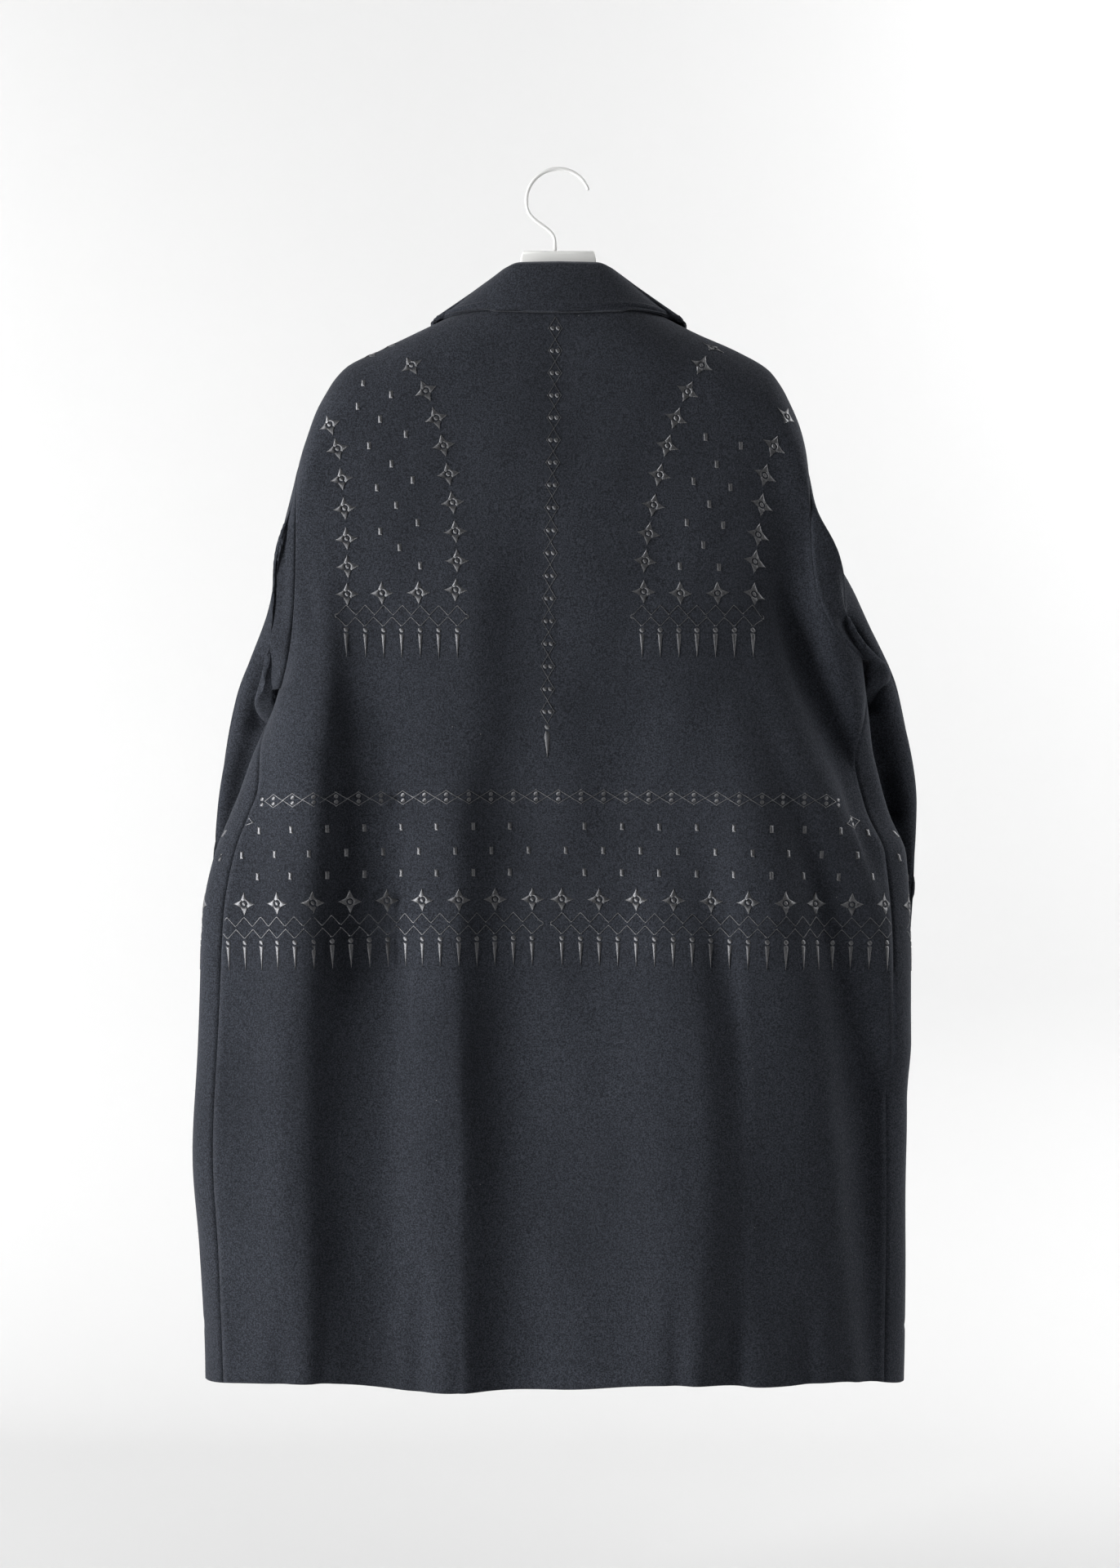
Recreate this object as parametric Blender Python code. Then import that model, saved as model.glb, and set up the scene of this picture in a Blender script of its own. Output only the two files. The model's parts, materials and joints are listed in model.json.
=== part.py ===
"""Embroidered wool coat, hung flat on a contoured hanger.

The origin is the inside top of the hanger's hook, where a rail would touch it. +Z is up, the
coat's front faces -Y and its back faces +Y, and the wearer's left is +X. Heights on the coat are
given as a drop below the origin, and 'across' is measured from the centre line.
"""
import math
from collections import namedtuple

import bmesh
import bpy
import numpy as np
from mathutils import Matrix

# Cloth and seams
WALL = 0.0025
SEAM_PULL = 0.0002
CLEAR_OF_CLOTH = 0.0075

# Body: drops of the landmarks
HEM_DROP = 1.063
SIDE_ROUNDNESS = 2.4
SHOULDER_ROUND = 0.050
SEAM_BEHIND_EDGE = 0.41
SEAM_SETTLES_OVER = 0.10
ARMHOLE_SETTLES_OVER = 0.08
ARMHOLE_CURVE = 5
MID_BODY_DROP = 0.8
SHOULDER_SAMPLES = 800

# Folds: shares of a fold's length, of a panel's width and of the armhole's height
FOLD_GROWS_OVER = 0.35
FOLD_FADES_OVER = 0.15
FOLD_EDGE_FADE = 0.08
FOLD_SHOULDER_FADE = 0.125

# A plain section of the body, for spacing the columns by length
GIRTH_ACROSS = 0.310
GIRTH_DEPTH = 0.052
GIRTH_TURN = math.pi * 1.2
GIRTH_STEPS = 2400

# Neck and front opening
NECK_HALF_WIDTH = 0.068
NECK_RIDGE_RISE = 0.020
FRONT_EDGE_ACROSS = 0.036
FRONT_EDGE_DROP = 0.182
LAYER_STEP = WALL + 0.0012
LAYER_FULL = 0.045
LAYER_FADE = 0.065
LAYER_TOP = 0.140
LAYER_TOP_FADE = 0.035

# Collar
COLLAR_FOLD_RADIUS = 0.0016
COLLAR_FOLD_RISE = 0.8
COLLAR_FALL_STOPS = (0.3, 0.65, 1.0)
COLLAR_CLEARANCE = 0.0019
COLLAR_LIES_ON_TOP = 0.75

# Buttons
BUTTON_RADIUS = 0.0120
BUTTON_THICKNESS = 0.0045
BUTTON_RIM = 0.0022
BUTTON_RIM_SLOPE = 0.4
BUTTON_BEVEL = 0.35
BUTTON_DISH = 0.0010
BUTTON_DROPS = (0.262, 0.412, 0.562, 0.712)
BUTTON_SIDES = 20
BUTTON_SEAT = 0.0003

# Hanger
HANGER_HALF_THICKNESS = 0.0065
HANGER_EDGE = 0.0030
HANGER_UNDER_CLOTH = 0.0006
HANGER_NECK_LOWERED = 0.0045
HANGER_CROWN = 0.0014
HANGER_TIP_ACROSS = 0.184
HANGER_NECK_ACROSS = 0.031
HANGER_NECK_DROP = 0.071
HANGER_ARM_SLOPE = 0.49
HANGER_ARM_HEIGHT = 0.030
HANGER_TIP_HEIGHT = 0.016
HANGER_TIP_ROUND = 0.0035
HANGER_TIP_TAPER = 0.004
HANGER_TIP_THINNER = 0.0025
HANGER_TIP_STATION = 0.003
HANGER_LOWERED_OVER = 0.020
HANGER_NECK_FILLET = 0.008
HANGER_NECK_STATION = 0.012
WIRE_RADIUS = 0.00165
HOOK_RADIUS = 0.0281
HOOK_OPEN_ANGLE = 22.0
HOOK_TURNS_BACK_AT = 197.0
HOOK_STEPS = 24
BEND_REACH = 0.013
BEND_STEPS = 8
STEM_ACROSS = 0.003
STEM_LENGTH = 0.008
HOOK_SEAT = 0.0003

# The two sides differ a little, as the coat leans on its hanger. The last two values say how far
# the sleeve leaves the armhole sideways, at its top and at the underarm.
Side = namedtuple(
    "Side", "sign shoulder_across shoulder_drop underarm_drop top_reach leaves_top leaves_underarm",
)
LEFT = Side(1, 0.229, 0.260, 0.457, 0.268, 0.08, 0.24)
RIGHT = Side(-1, 0.220, 0.264, 0.431, 0.2575, 0.12, 0.26)

# The coat's outline from behind, below the underarms, as measured from the centre line
Reach = namedtuple("Reach", "drop across")
LEFT_REACH = (
    Reach(0.457, 0.245), Reach(0.503, 0.261), Reach(0.541, 0.276), Reach(0.570, 0.289),
    Reach(0.600, 0.300), Reach(0.657, 0.310), Reach(0.771, 0.316), Reach(0.858, 0.319),
    Reach(0.944, 0.315), Reach(1.063, 0.309),
)
RIGHT_REACH = (
    Reach(0.431, 0.268), Reach(0.495, 0.276), Reach(0.543, 0.287), Reach(0.571, 0.295),
    Reach(0.603, 0.305), Reach(0.657, 0.3075), Reach(0.742, 0.305), Reach(0.858, 0.306),
    Reach(0.944, 0.306), Reach(1.063, 0.304),
)

# The shoulder line, from the side of the neck over the hanger's tip to the armhole
LEFT_SHOULDER = (
    Reach(0.116, 0.068), Reach(0.141, 0.120), Reach(0.160, 0.160), Reach(0.1715, 0.184),
    Reach(0.183, 0.196), Reach(0.197, 0.205), Reach(0.212, 0.213), Reach(0.238, 0.222),
    Reach(0.260, 0.229),
)
RIGHT_SHOULDER = (
    Reach(0.116, 0.068), Reach(0.143, 0.120), Reach(0.161, 0.160), Reach(0.175, 0.184),
    Reach(0.190, 0.196), Reach(0.2095, 0.206), Reach(0.224, 0.212), Reach(0.243, 0.217),
    Reach(0.264, 0.220),
)

# How far the middle of each panel stands from the plane of the hanger
Depth = namedtuple("Depth", "drop back front")
DEPTHS = (
    Depth(0.100, 0.034, 0.036), Depth(0.200, 0.040, 0.040), Depth(0.300, 0.044, 0.043),
    Depth(0.450, 0.046, 0.045), Depth(0.600, 0.046, 0.044), Depth(0.800, 0.052, 0.048),
    Depth(0.950, 0.058, 0.054), Depth(1.063, 0.060, 0.058),
)

# The hem's lower edge, across the back
HemPoint = namedtuple("HemPoint", "across drop")
HEM_LINE = (
    HemPoint(-0.306, 1.066), HemPoint(-0.240, 1.056), HemPoint(-0.180, 1.057),
    HemPoint(-0.100, 1.053), HemPoint(0.000, 1.061), HemPoint(0.125, 1.064),
    HemPoint(0.210, 1.057), HemPoint(0.318, 1.063),
)

# The main folds: each is a long crest whose two flanks have their own widths
Fold = namedtuple("Fold", "top bottom across_top across_middle across_bottom height to_left to_right")
BACK_FOLDS = (
    Fold(0.300, 1.200, 0.192, 0.221, 0.210, 0.012, 0.034, 0.022),
    Fold(0.260, 0.640, 0.070, 0.078, 0.088, 0.006, 0.060, 0.030),
    Fold(0.480, 1.200, 0.098, 0.087, 0.086, 0.019, 0.070, 0.030),
    Fold(0.560, 1.200, -0.104, -0.122, -0.098, 0.021, 0.105, 0.026),
    Fold(0.400, 1.200, -0.132, -0.226, -0.270, 0.015, 0.045, 0.021),
    Fold(0.230, 0.640, -0.188, -0.214, -0.272, -0.008, 0.017, 0.022),
)
LEFT_FRONT_FOLDS = (
    Fold(0.420, 1.200, 0.150, 0.175, 0.190, 0.013, 0.026, 0.050),
    Fold(0.300, 1.200, 0.085, 0.098, 0.110, 0.010, 0.030, 0.030),
    Fold(0.560, 1.200, 0.225, 0.245, 0.250, 0.010, 0.022, 0.030),
)
RIGHT_FRONT_FOLDS = (
    Fold(0.460, 1.200, -0.160, -0.172, -0.165, 0.015, 0.055, 0.026),
    Fold(0.280, 1.200, -0.080, -0.092, -0.098, 0.010, 0.032, 0.028),
    Fold(0.600, 1.200, -0.230, -0.240, -0.246, 0.010, 0.030, 0.022),
)

# The sleeve lies flattened between an outer and an inner edge, and hangs forward of the body.
# 'along' runs from the armhole (0) to the cuff (1).
SleeveEdge = namedtuple("SleeveEdge", "along across forward drop")
LEFT_SLEEVE_OUTER = (
    SleeveEdge(0.00, 0.229, 0.000, 0.260), SleeveEdge(0.10, 0.242, 0.003, 0.312),
    SleeveEdge(0.25, 0.256, 0.012, 0.382), SleeveEdge(0.42, 0.287, 0.026, 0.465),
    SleeveEdge(0.60, 0.305, 0.040, 0.560), SleeveEdge(0.80, 0.312, 0.052, 0.668),
    SleeveEdge(1.00, 0.304, 0.062, 0.778),
)
LEFT_SLEEVE_INNER = (
    SleeveEdge(0.42, 0.156, 0.078, 0.594), SleeveEdge(0.60, 0.136, 0.082, 0.655),
    SleeveEdge(0.80, 0.138, 0.087, 0.728), SleeveEdge(1.00, 0.152, 0.092, 0.800),
)
RIGHT_SLEEVE_OUTER = (
    SleeveEdge(0.00, 0.220, 0.000, 0.264), SleeveEdge(0.10, 0.230, 0.003, 0.312),
    SleeveEdge(0.25, 0.265, 0.012, 0.378), SleeveEdge(0.42, 0.303, 0.026, 0.462),
    SleeveEdge(0.60, 0.321, 0.040, 0.560), SleeveEdge(0.80, 0.318, 0.052, 0.665),
    SleeveEdge(1.00, 0.306, 0.062, 0.776),
)
RIGHT_SLEEVE_INNER = (
    SleeveEdge(0.42, 0.166, 0.078, 0.586), SleeveEdge(0.60, 0.140, 0.082, 0.652),
    SleeveEdge(0.80, 0.140, 0.087, 0.727), SleeveEdge(1.00, 0.151, 0.092, 0.799),
)
SLEEVE_FLATTENS_AT = 0.42
SLEEVE_HALF_DEPTH_AT_ARM = 0.027
SLEEVE_HALF_DEPTH_AT_CUFF = 0.018
SLEEVE_LEAVES_FORWARD = 0.10
SLEEVE_LEAVES_DOWN = 0.02
SLEEVE_TOP_SHARE = 0.35
SLEEVE_WAY_STEP = 0.02
SLEEVE_SLOPE_STEP = 0.01
PUSH_CENTRE_ACROSS = 0.190
PUSH_CENTRE_BACK = 0.012
PUSH_STEPS = 120
PUSH_GROWTH = 1.012

# The collar from the centre back (turn 0) over the shoulder (turn 1) to its front end (turn 2)
CollarStation = namedtuple(
    "CollarStation",
    "turn neck_across neck_drop roll_across roll_back roll_drop edge_across edge_drop",
)
COLLAR = (
    CollarStation(0.0, 0.000, 0.1100, 0.000, 0.0220, 0.0880, 0.000, 0.1275),
    CollarStation(0.5, 0.040, 0.1115, 0.034, 0.0190, 0.0882, 0.062, 0.1275),
    CollarStation(0.8, 0.060, 0.1140, 0.045, 0.0100, 0.0905, 0.096, 0.1310),
    CollarStation(1.0, 0.068, 0.1160, 0.050, 0.0000, 0.0945, 0.112, 0.1355),
    CollarStation(1.3, 0.064, 0.1370, 0.046, -0.0180, 0.1080, 0.114, 0.1680),
    CollarStation(1.65, 0.046, 0.1610, 0.034, -0.0360, 0.1360, 0.094, 0.2050),
    CollarStation(2.0, 0.020, 0.1770, 0.017, -0.0440, 0.1640, 0.052, 0.2280),
)

# How finely the cloth is divided
ARMHOLE_ROWS = (0.0, 0.012, 0.035, 0.09, 0.18, 0.30, 0.44, 0.58, 0.71, 0.82, 0.91, 0.97, 1.0)
BODY_ROWS = (
    0.02, 0.05, 0.09, 0.14, 0.20, 0.27, 0.34, 0.41, 0.48, 0.56, 0.64, 0.72, 0.80, 0.88, 0.94, 1.0,
)
SLEEVE_ROWS = (
    0.0, 0.03, 0.065, 0.10, 0.14, 0.18, 0.22, 0.27, 0.32, 0.38, 0.45, 0.54, 0.63, 0.72, 0.81, 0.90, 1.0,
)
SHOULDER_COLUMNS = 12
BACK_TURNS = (0.0, 0.25, 0.5, 0.75, 0.9, 1.0)
FRONT_TURNS = (1.0, 1.1, 1.25, 1.45, 1.7, 2.0)
OVERLAP_COLUMNS = 3

WOOL = ("black_wool", (0.012, 0.013, 0.015, 1.0), 0.95, 0.0)
HORN = ("dark_button", (0.015, 0.014, 0.014, 1.0), 0.35, 0.0)
WHITE_PLASTIC = ("white_plastic", (0.80, 0.80, 0.79, 1.0), 0.45, 0.0)
WHITE_METAL = ("white_lacquered_wire", (0.78, 0.78, 0.77, 1.0), 0.30, 0.0)


def smooth_step(value):
    part = np.clip(value, 0.0, 1.0)
    return part * part * (3.0 - 2.0 * part)


def smooth_curve(keys, values, at):
    """Read a table with a cubic that passes through its rows and never overshoots them."""
    keys = np.asarray(keys, dtype=float)
    values = np.asarray(values, dtype=float)
    steps = np.diff(keys)
    rises = np.diff(values) / steps
    slopes = np.concatenate(([rises[0]], np.zeros(len(rises) - 1), [rises[-1]]))
    product = rises[:-1] * rises[1:]
    total = np.where(product > 0.0, rises[:-1] + rises[1:], 1.0)
    slopes[1:-1] = np.where(product > 0.0, 2.0 * product / total, 0.0)
    at = np.clip(at, keys[0], keys[-1])
    row = np.clip(np.searchsorted(keys, at, side="right") - 1, 0, len(steps) - 1)
    step = steps[row]
    part = (at - keys[row]) / step
    rest = 1.0 - part
    return (
        values[row] * (1.0 + 2.0 * part) * rest * rest
        + slopes[row] * step * part * rest * rest
        + values[row + 1] * part * part * (3.0 - 2.0 * part)
        - slopes[row + 1] * step * part * part * rest
    )


def column(table, name):
    return [getattr(row, name) for row in table]


def reach(side, drop):
    """How far the body reaches from the centre line, below the underarm."""
    table = LEFT_REACH if side is LEFT else RIGHT_REACH
    return smooth_curve(column(table, "drop"), column(table, "across"), drop)


def rounding_reach(side, drop):
    """The reach that sets a panel's roundness: above the underarm the sleeve carries it on."""
    above = smooth_step((side.underarm_drop - drop) / ARMHOLE_SETTLES_OVER)
    return reach(side, drop) + (side.top_reach - reach(side, drop)) * above


def ridge_drop(side, distance):
    """Drop of the shoulder line, carried on level over the open neck."""
    table = LEFT_SHOULDER if side is LEFT else RIGHT_SHOULDER
    line = smooth_curve(column(table, "across"), column(table, "drop"), distance)
    inside = np.clip(1.0 - (distance / NECK_HALF_WIDTH) ** 2, 0.0, 1.0)
    return line - NECK_RIDGE_RISE * inside


def panel_depth(side, across, drop, face):
    """Distance of the plain panel from the hanger's plane, without its folds."""
    distance = np.abs(across)
    part = np.clip(distance / rounding_reach(side, drop), 0.0, 1.0)
    bulge = (1.0 - part ** SIDE_ROUNDNESS) ** (1.0 / SIDE_ROUNDNESS)
    below = np.clip((drop - ridge_drop(side, distance)) / SHOULDER_ROUND, 0.0, 1.0)
    rounding = np.sqrt(np.clip(1.0 - (1.0 - below) ** 2, 0.0, 1.0))
    middle = smooth_curve(column(DEPTHS, "drop"), column(DEPTHS, face), drop)
    return middle * bulge * rounding


def under_layer(side, across, drop):
    """How far the left front is set back where the right front lies over it."""
    if side is RIGHT:
        return np.zeros_like(across)
    near_edge = smooth_step((LAYER_FULL + LAYER_FADE - np.abs(across)) / LAYER_FADE)
    return LAYER_STEP * near_edge * smooth_step((drop - LAYER_TOP) / LAYER_TOP_FADE)


def panel_folds(side, face):
    if face == "back":
        return BACK_FOLDS
    return LEFT_FRONT_FOLDS if side is LEFT else RIGHT_FRONT_FOLDS


def fold_height(folds, across, drop):
    """Sum of the folds at a place on a panel."""
    total = np.zeros_like(across)
    for fold in folds:
        length = fold.bottom - fold.top
        keys = (fold.top, fold.top + length * 0.5, fold.bottom)
        crest = smooth_curve(keys, (fold.across_top, fold.across_middle, fold.across_bottom), drop)
        offset = across - crest
        width = np.where(offset > 0.0, fold.to_left, fold.to_right)
        grows = smooth_step((drop - fold.top) / (length * FOLD_GROWS_OVER))
        fades = smooth_step((fold.bottom - drop) / (length * FOLD_FADES_OVER))
        total += fold.height * grows * fades * np.exp(-(offset / width) ** 2)
    return total


def girth_table():
    """Length round a plain section from the centre back, against the angle round it."""
    angles = np.linspace(0.0, GIRTH_TURN, GIRTH_STEPS)
    power = 2.0 / SIDE_ROUNDNESS
    across = GIRTH_ACROSS * np.sign(np.sin(angles)) * np.abs(np.sin(angles)) ** power
    depth = GIRTH_DEPTH * np.sign(np.cos(angles)) * np.abs(np.cos(angles)) ** power
    lengths = np.concatenate(([0.0], np.cumsum(np.hypot(np.diff(across), np.diff(depth)))))
    return angles, lengths


GIRTH_ANGLES, GIRTH_LENGTHS = girth_table()


def angle_between(start, end, part):
    """The angle that lies a part of the way round, by length."""
    first = np.interp(start, GIRTH_ANGLES, GIRTH_LENGTHS)
    last = np.interp(end, GIRTH_ANGLES, GIRTH_LENGTHS)
    return np.interp(first + (last - first) * part, GIRTH_LENGTHS, GIRTH_ANGLES)


def side_seam_angle(side, drop):
    """The side seam starts at the underarm and settles a little behind the side's edge."""
    settled = smooth_step((drop - side.underarm_drop) / SEAM_SETTLES_OVER)
    return math.pi / 2.0 - SEAM_BEHIND_EDGE * settled


def section_place(side, angle, drop):
    """Across and depth of the plain section at an angle from the centre back."""
    power = 2.0 / SIDE_ROUNDNESS
    across = side.sign * reach(side, drop) * np.sign(np.sin(angle)) * np.abs(np.sin(angle)) ** power
    back = smooth_curve(column(DEPTHS, "drop"), column(DEPTHS, "back"), drop)
    front = smooth_curve(column(DEPTHS, "drop"), column(DEPTHS, "front"), drop)
    turn = np.cos(angle)
    depth = np.where(turn >= 0.0, back, front) * np.sign(turn) * np.abs(turn) ** power
    return across, depth


def underarm_level(across):
    """Drop of the line from one underarm to the other, which the coat's lean tilts."""
    ends = (-reach(RIGHT, RIGHT.underarm_drop), reach(LEFT, LEFT.underarm_drop))
    return np.interp(across, ends, (RIGHT.underarm_drop, LEFT.underarm_drop))


def hem_level(across):
    return smooth_curve(column(HEM_LINE, "across"), column(HEM_LINE, "drop"), across)


def armhole_reach(side, part):
    """The armhole runs straight down from the shoulder and curves out at the underarm."""
    underarm = reach(side, side.underarm_drop)
    return side.shoulder_across + (underarm - side.shoulder_across) * part ** ARMHOLE_CURVE


def armhole_edge(side, part, face):
    """A point of the armhole, from the shoulder (0) to the underarm (1)."""
    part = np.asarray(part, dtype=float)
    distance = armhole_reach(side, part)
    drop = side.shoulder_drop + (side.underarm_drop - side.shoulder_drop) * part
    depth = panel_depth(side, distance, drop, face)
    depth = np.where((part <= 0.0) | (part >= 1.0), 0.0, depth)
    return side.sign * distance, depth if face == "back" else -depth, drop


def shoulder_edge(side):
    """The shoulder seam from the armhole to the side of the neck, in even steps."""
    across = np.linspace(NECK_HALF_WIDTH, side.shoulder_across, SHOULDER_SAMPLES)
    drops = ridge_drop(side, across)
    lengths = np.concatenate(([0.0], np.cumsum(np.hypot(np.diff(across), np.diff(drops)))))
    stops = np.linspace(lengths[-1], 0.0, SHOULDER_COLUMNS + 1)
    stopped = np.interp(stops, lengths, across)
    return stopped, ridge_drop(side, stopped)


def neck_edge(turns):
    turn = column(COLLAR, "turn")
    across = smooth_curve(turn, column(COLLAR, "neck_across"), turns)
    drop = smooth_curve(turn, column(COLLAR, "neck_drop"), turns)
    return across, drop


def panel_half(side, face, top_across, top_drop, end_angle):
    """Half of the back, or one front, as a grid of rows from its top edge to the hem.

    The first column is the armhole and side seam. The last one is the centre back, or the front's
    own edge.
    """
    steps = np.hypot(np.diff(top_across), np.diff(top_drop))
    part = np.concatenate(([0.0], np.cumsum(steps))) / np.sum(steps)
    folds = panel_folds(side, face)
    facing = 1.0 if face == "back" else -1.0
    edge_fade = smooth_step(part / FOLD_EDGE_FADE)
    rows = []

    under_angle = angle_between(math.pi / 2.0, end_angle, part)
    under_across, under_depth = section_place(side, under_angle, side.underarm_drop)
    under_drop = underarm_level(under_across)
    top_ratio = side.sign * top_across / side.shoulder_across
    under_ratio = under_across / reach(side, side.underarm_drop)
    for share in ARMHOLE_ROWS:
        edge_depth = armhole_edge(side, share, face)[1]
        drop = top_drop * (1.0 - share) + under_drop * share
        down_armhole = (drop - side.shoulder_drop) / (side.underarm_drop - side.shoulder_drop)
        down_armhole = np.maximum(np.clip(down_armhole, 0.0, 1.0), share ** ARMHOLE_CURVE)
        across = (top_ratio * (1.0 - share) + under_ratio * share) * armhole_reach(side, down_armhole)
        depth = panel_depth(side, across, drop, face)
        below_shoulder = min(share / FOLD_SHOULDER_FADE, 1.0)
        depth = depth + fold_height(folds, across, drop) * edge_fade * below_shoulder
        if face == "front":
            depth = depth - under_layer(side, across, drop)
        depth = depth * facing
        depth[0] = edge_depth
        if share == 0.0:
            depth[: SHOULDER_COLUMNS + 1] = 0.0
        rows.append(np.stack((across, depth, -drop), axis=1))

    hem_angle = angle_between(math.pi / 2.0 - SEAM_BEHIND_EDGE, end_angle, part)
    hem_across, hem_depth = section_place(side, hem_angle, HEM_DROP)
    hem_drop = hem_level(hem_across)
    for share in BODY_ROWS:
        drop = under_drop * (1.0 - share) + hem_drop * share
        angle = angle_between(side_seam_angle(side, drop), end_angle, part)
        across, depth = section_place(side, angle, drop)
        depth = depth + facing * fold_height(folds, across, drop) * edge_fade
        if face == "front":
            depth = depth + under_layer(side, across, drop) * (angle > math.pi / 2.0)
        rows.append(np.stack((across, depth, -drop), axis=1))
    return np.array(rows)


def back_panel():
    halves = []
    for side in (LEFT, RIGHT):
        shoulder_across, shoulder_drop = shoulder_edge(side)
        neck_across, neck_drop = neck_edge(np.array(BACK_TURNS[-2::-1]))
        top_across = np.concatenate((shoulder_across, neck_across))
        top_drop = np.concatenate((shoulder_drop, neck_drop))
        halves.append(panel_half(side, "back", top_across, top_drop, 0.0))
    left, right = halves
    middle = (left[:, -1:] + right[:, -1:]) / 2.0
    return np.concatenate((left[:, :-1], middle, right[:, -2::-1]), axis=1)


def front_panel(side):
    shoulder_across, shoulder_drop = shoulder_edge(side)
    neck_across, neck_drop = neck_edge(np.array(FRONT_TURNS[1:]))
    overlap = np.linspace(neck_across[-1], -FRONT_EDGE_ACROSS, OVERLAP_COLUMNS + 1)[1:]
    overlap_drop = np.full(OVERLAP_COLUMNS, FRONT_EDGE_DROP)
    top_across = np.concatenate((shoulder_across, neck_across, overlap))
    top_drop = np.concatenate((shoulder_drop, neck_drop, overlap_drop))
    power = SIDE_ROUNDNESS / 2.0
    beyond_centre = math.asin((FRONT_EDGE_ACROSS / reach(side, MID_BODY_DROP)) ** power)
    return panel_half(side, "front", top_across, top_drop, math.pi + beyond_centre)


def sleeve_edge_line(side, edge, along):
    """A point on the sleeve's outer or inner edge."""
    tables = {
        (LEFT, "outer"): LEFT_SLEEVE_OUTER, (LEFT, "inner"): LEFT_SLEEVE_INNER,
        (RIGHT, "outer"): RIGHT_SLEEVE_OUTER, (RIGHT, "inner"): RIGHT_SLEEVE_INNER,
    }
    table = tables[(side, edge)]
    keys = column(table, "along")
    across = side.sign * smooth_curve(keys, column(table, "across"), along)
    forward = smooth_curve(keys, column(table, "forward"), along)
    drop = smooth_curve(keys, column(table, "drop"), along)
    return np.array((across, -forward, -drop))


def flat_ring(side, along, around, facing):
    """The flattened sleeve below the upper arm, as an oval between its two edges."""
    outer = sleeve_edge_line(side, "outer", along)
    inner = sleeve_edge_line(side, "inner", along)
    later = min(along + SLEEVE_SLOPE_STEP, 1.0)
    ahead = sleeve_edge_line(side, "outer", later) + sleeve_edge_line(side, "inner", later)
    sooner = later - SLEEVE_SLOPE_STEP
    behind = sleeve_edge_line(side, "outer", sooner) + sleeve_edge_line(side, "inner", sooner)
    through = np.cross(inner - outer, ahead - behind)
    through = through / np.linalg.norm(through)
    through = through * np.sign(through[1])
    part = (along - SLEEVE_FLATTENS_AT) / (1.0 - SLEEVE_FLATTENS_AT)
    half_depth = SLEEVE_HALF_DEPTH_AT_ARM + (SLEEVE_HALF_DEPTH_AT_CUFF - SLEEVE_HALF_DEPTH_AT_ARM) * part
    oval = np.outer(facing * 2.0 * np.sqrt(around * (1.0 - around)) * half_depth, through)
    return outer + np.outer(around, inner - outer) + oval


def sleeve(side):
    """The sleeve as rings from the armhole to the cuff, each round its two long edges.

    Above the upper arm each line of the sleeve leaves the armhole sideways and bends down to the
    flattened part.
    """
    shares = np.array(ARMHOLE_ROWS)
    around = np.concatenate((shares, shares[-2:0:-1]))
    facing = np.concatenate((np.ones(len(shares)), -np.ones(len(shares) - 2)))
    armhole = []
    for share, face in zip(around, facing):
        across, depth, drop = armhole_edge(side, share, "back" if face > 0.0 else "front")
        armhole.append((float(across), float(depth), -float(drop)))
    armhole = np.array(armhole)

    length = SLEEVE_FLATTENS_AT
    arm_ring = flat_ring(side, length, around, facing)
    step = SLEEVE_WAY_STEP
    arm_way = (flat_ring(side, length + step, around, facing) - arm_ring) / step * length
    outer_step = sleeve_edge_line(side, "outer", step) - sleeve_edge_line(side, "outer", 0.0)
    outer_way = outer_step / step * length
    sideways = side.leaves_top + (side.leaves_underarm - side.leaves_top) * around
    free_way = np.stack((
        side.sign * sideways,
        -SLEEVE_LEAVES_FORWARD * around ** 3,
        np.full(len(around), -SLEEVE_LEAVES_DOWN),
    ), axis=1)
    share_free = smooth_step(around / SLEEVE_TOP_SHARE)[:, None]
    start_way = outer_way * (1.0 - share_free) + free_way * share_free

    rings = [armhole]
    for along in SLEEVE_ROWS[1:]:
        if along < length:
            part = along / length
            rest = 1.0 - part
            ring = armhole * (1.0 + 2.0 * part) * rest ** 2 + start_way * part * rest ** 2
            ring = ring + arm_ring * part ** 2 * (3.0 - 2.0 * part) - arm_way * part ** 2 * rest
            off_outline = sleeve_edge_line(side, "outer", along) - ring[0]
            ring = ring + np.outer((1.0 - around) ** 3, off_outline)
        else:
            ring = flat_ring(side, along, around, facing)
        rings.append(clear_of_body(side, ring))
    return np.array(rings)


def clear_of_body(side, points):
    """Move points of the sleeve out of the body's side and front, so that it lies just off them."""
    drop = -points[:, 2]
    folds = panel_folds(side, "front")
    part = np.clip((drop - side.shoulder_drop) / (side.underarm_drop - side.shoulder_drop), 0.0, 1.0)
    wide = np.where(part < 1.0, armhole_reach(side, part), reach(side, drop)) + CLEAR_OF_CLOTH
    deep = smooth_curve(column(DEPTHS, "drop"), column(DEPTHS, "front"), drop) + CLEAR_OF_CLOTH
    centre = np.array((side.sign * PUSH_CENTRE_ACROSS, PUSH_CENTRE_BACK))
    way = points[:, :2] - centre
    moved = points.copy()
    stretch = np.ones(len(points))
    for _ in range(PUSH_STEPS):
        place = centre + way * stretch[:, None]
        fold = np.maximum(fold_height(folds, place[:, 0], drop), 0.0)
        size = (np.abs(place[:, 0]) / wide) ** SIDE_ROUNDNESS
        size = size + (np.abs(place[:, 1]) / (deep + fold)) ** SIDE_ROUNDNESS
        stretch = np.where(size < 1.0, stretch * PUSH_GROWTH, stretch)
    moved[:, :2] = centre + way * stretch[:, None]
    return moved


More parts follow.
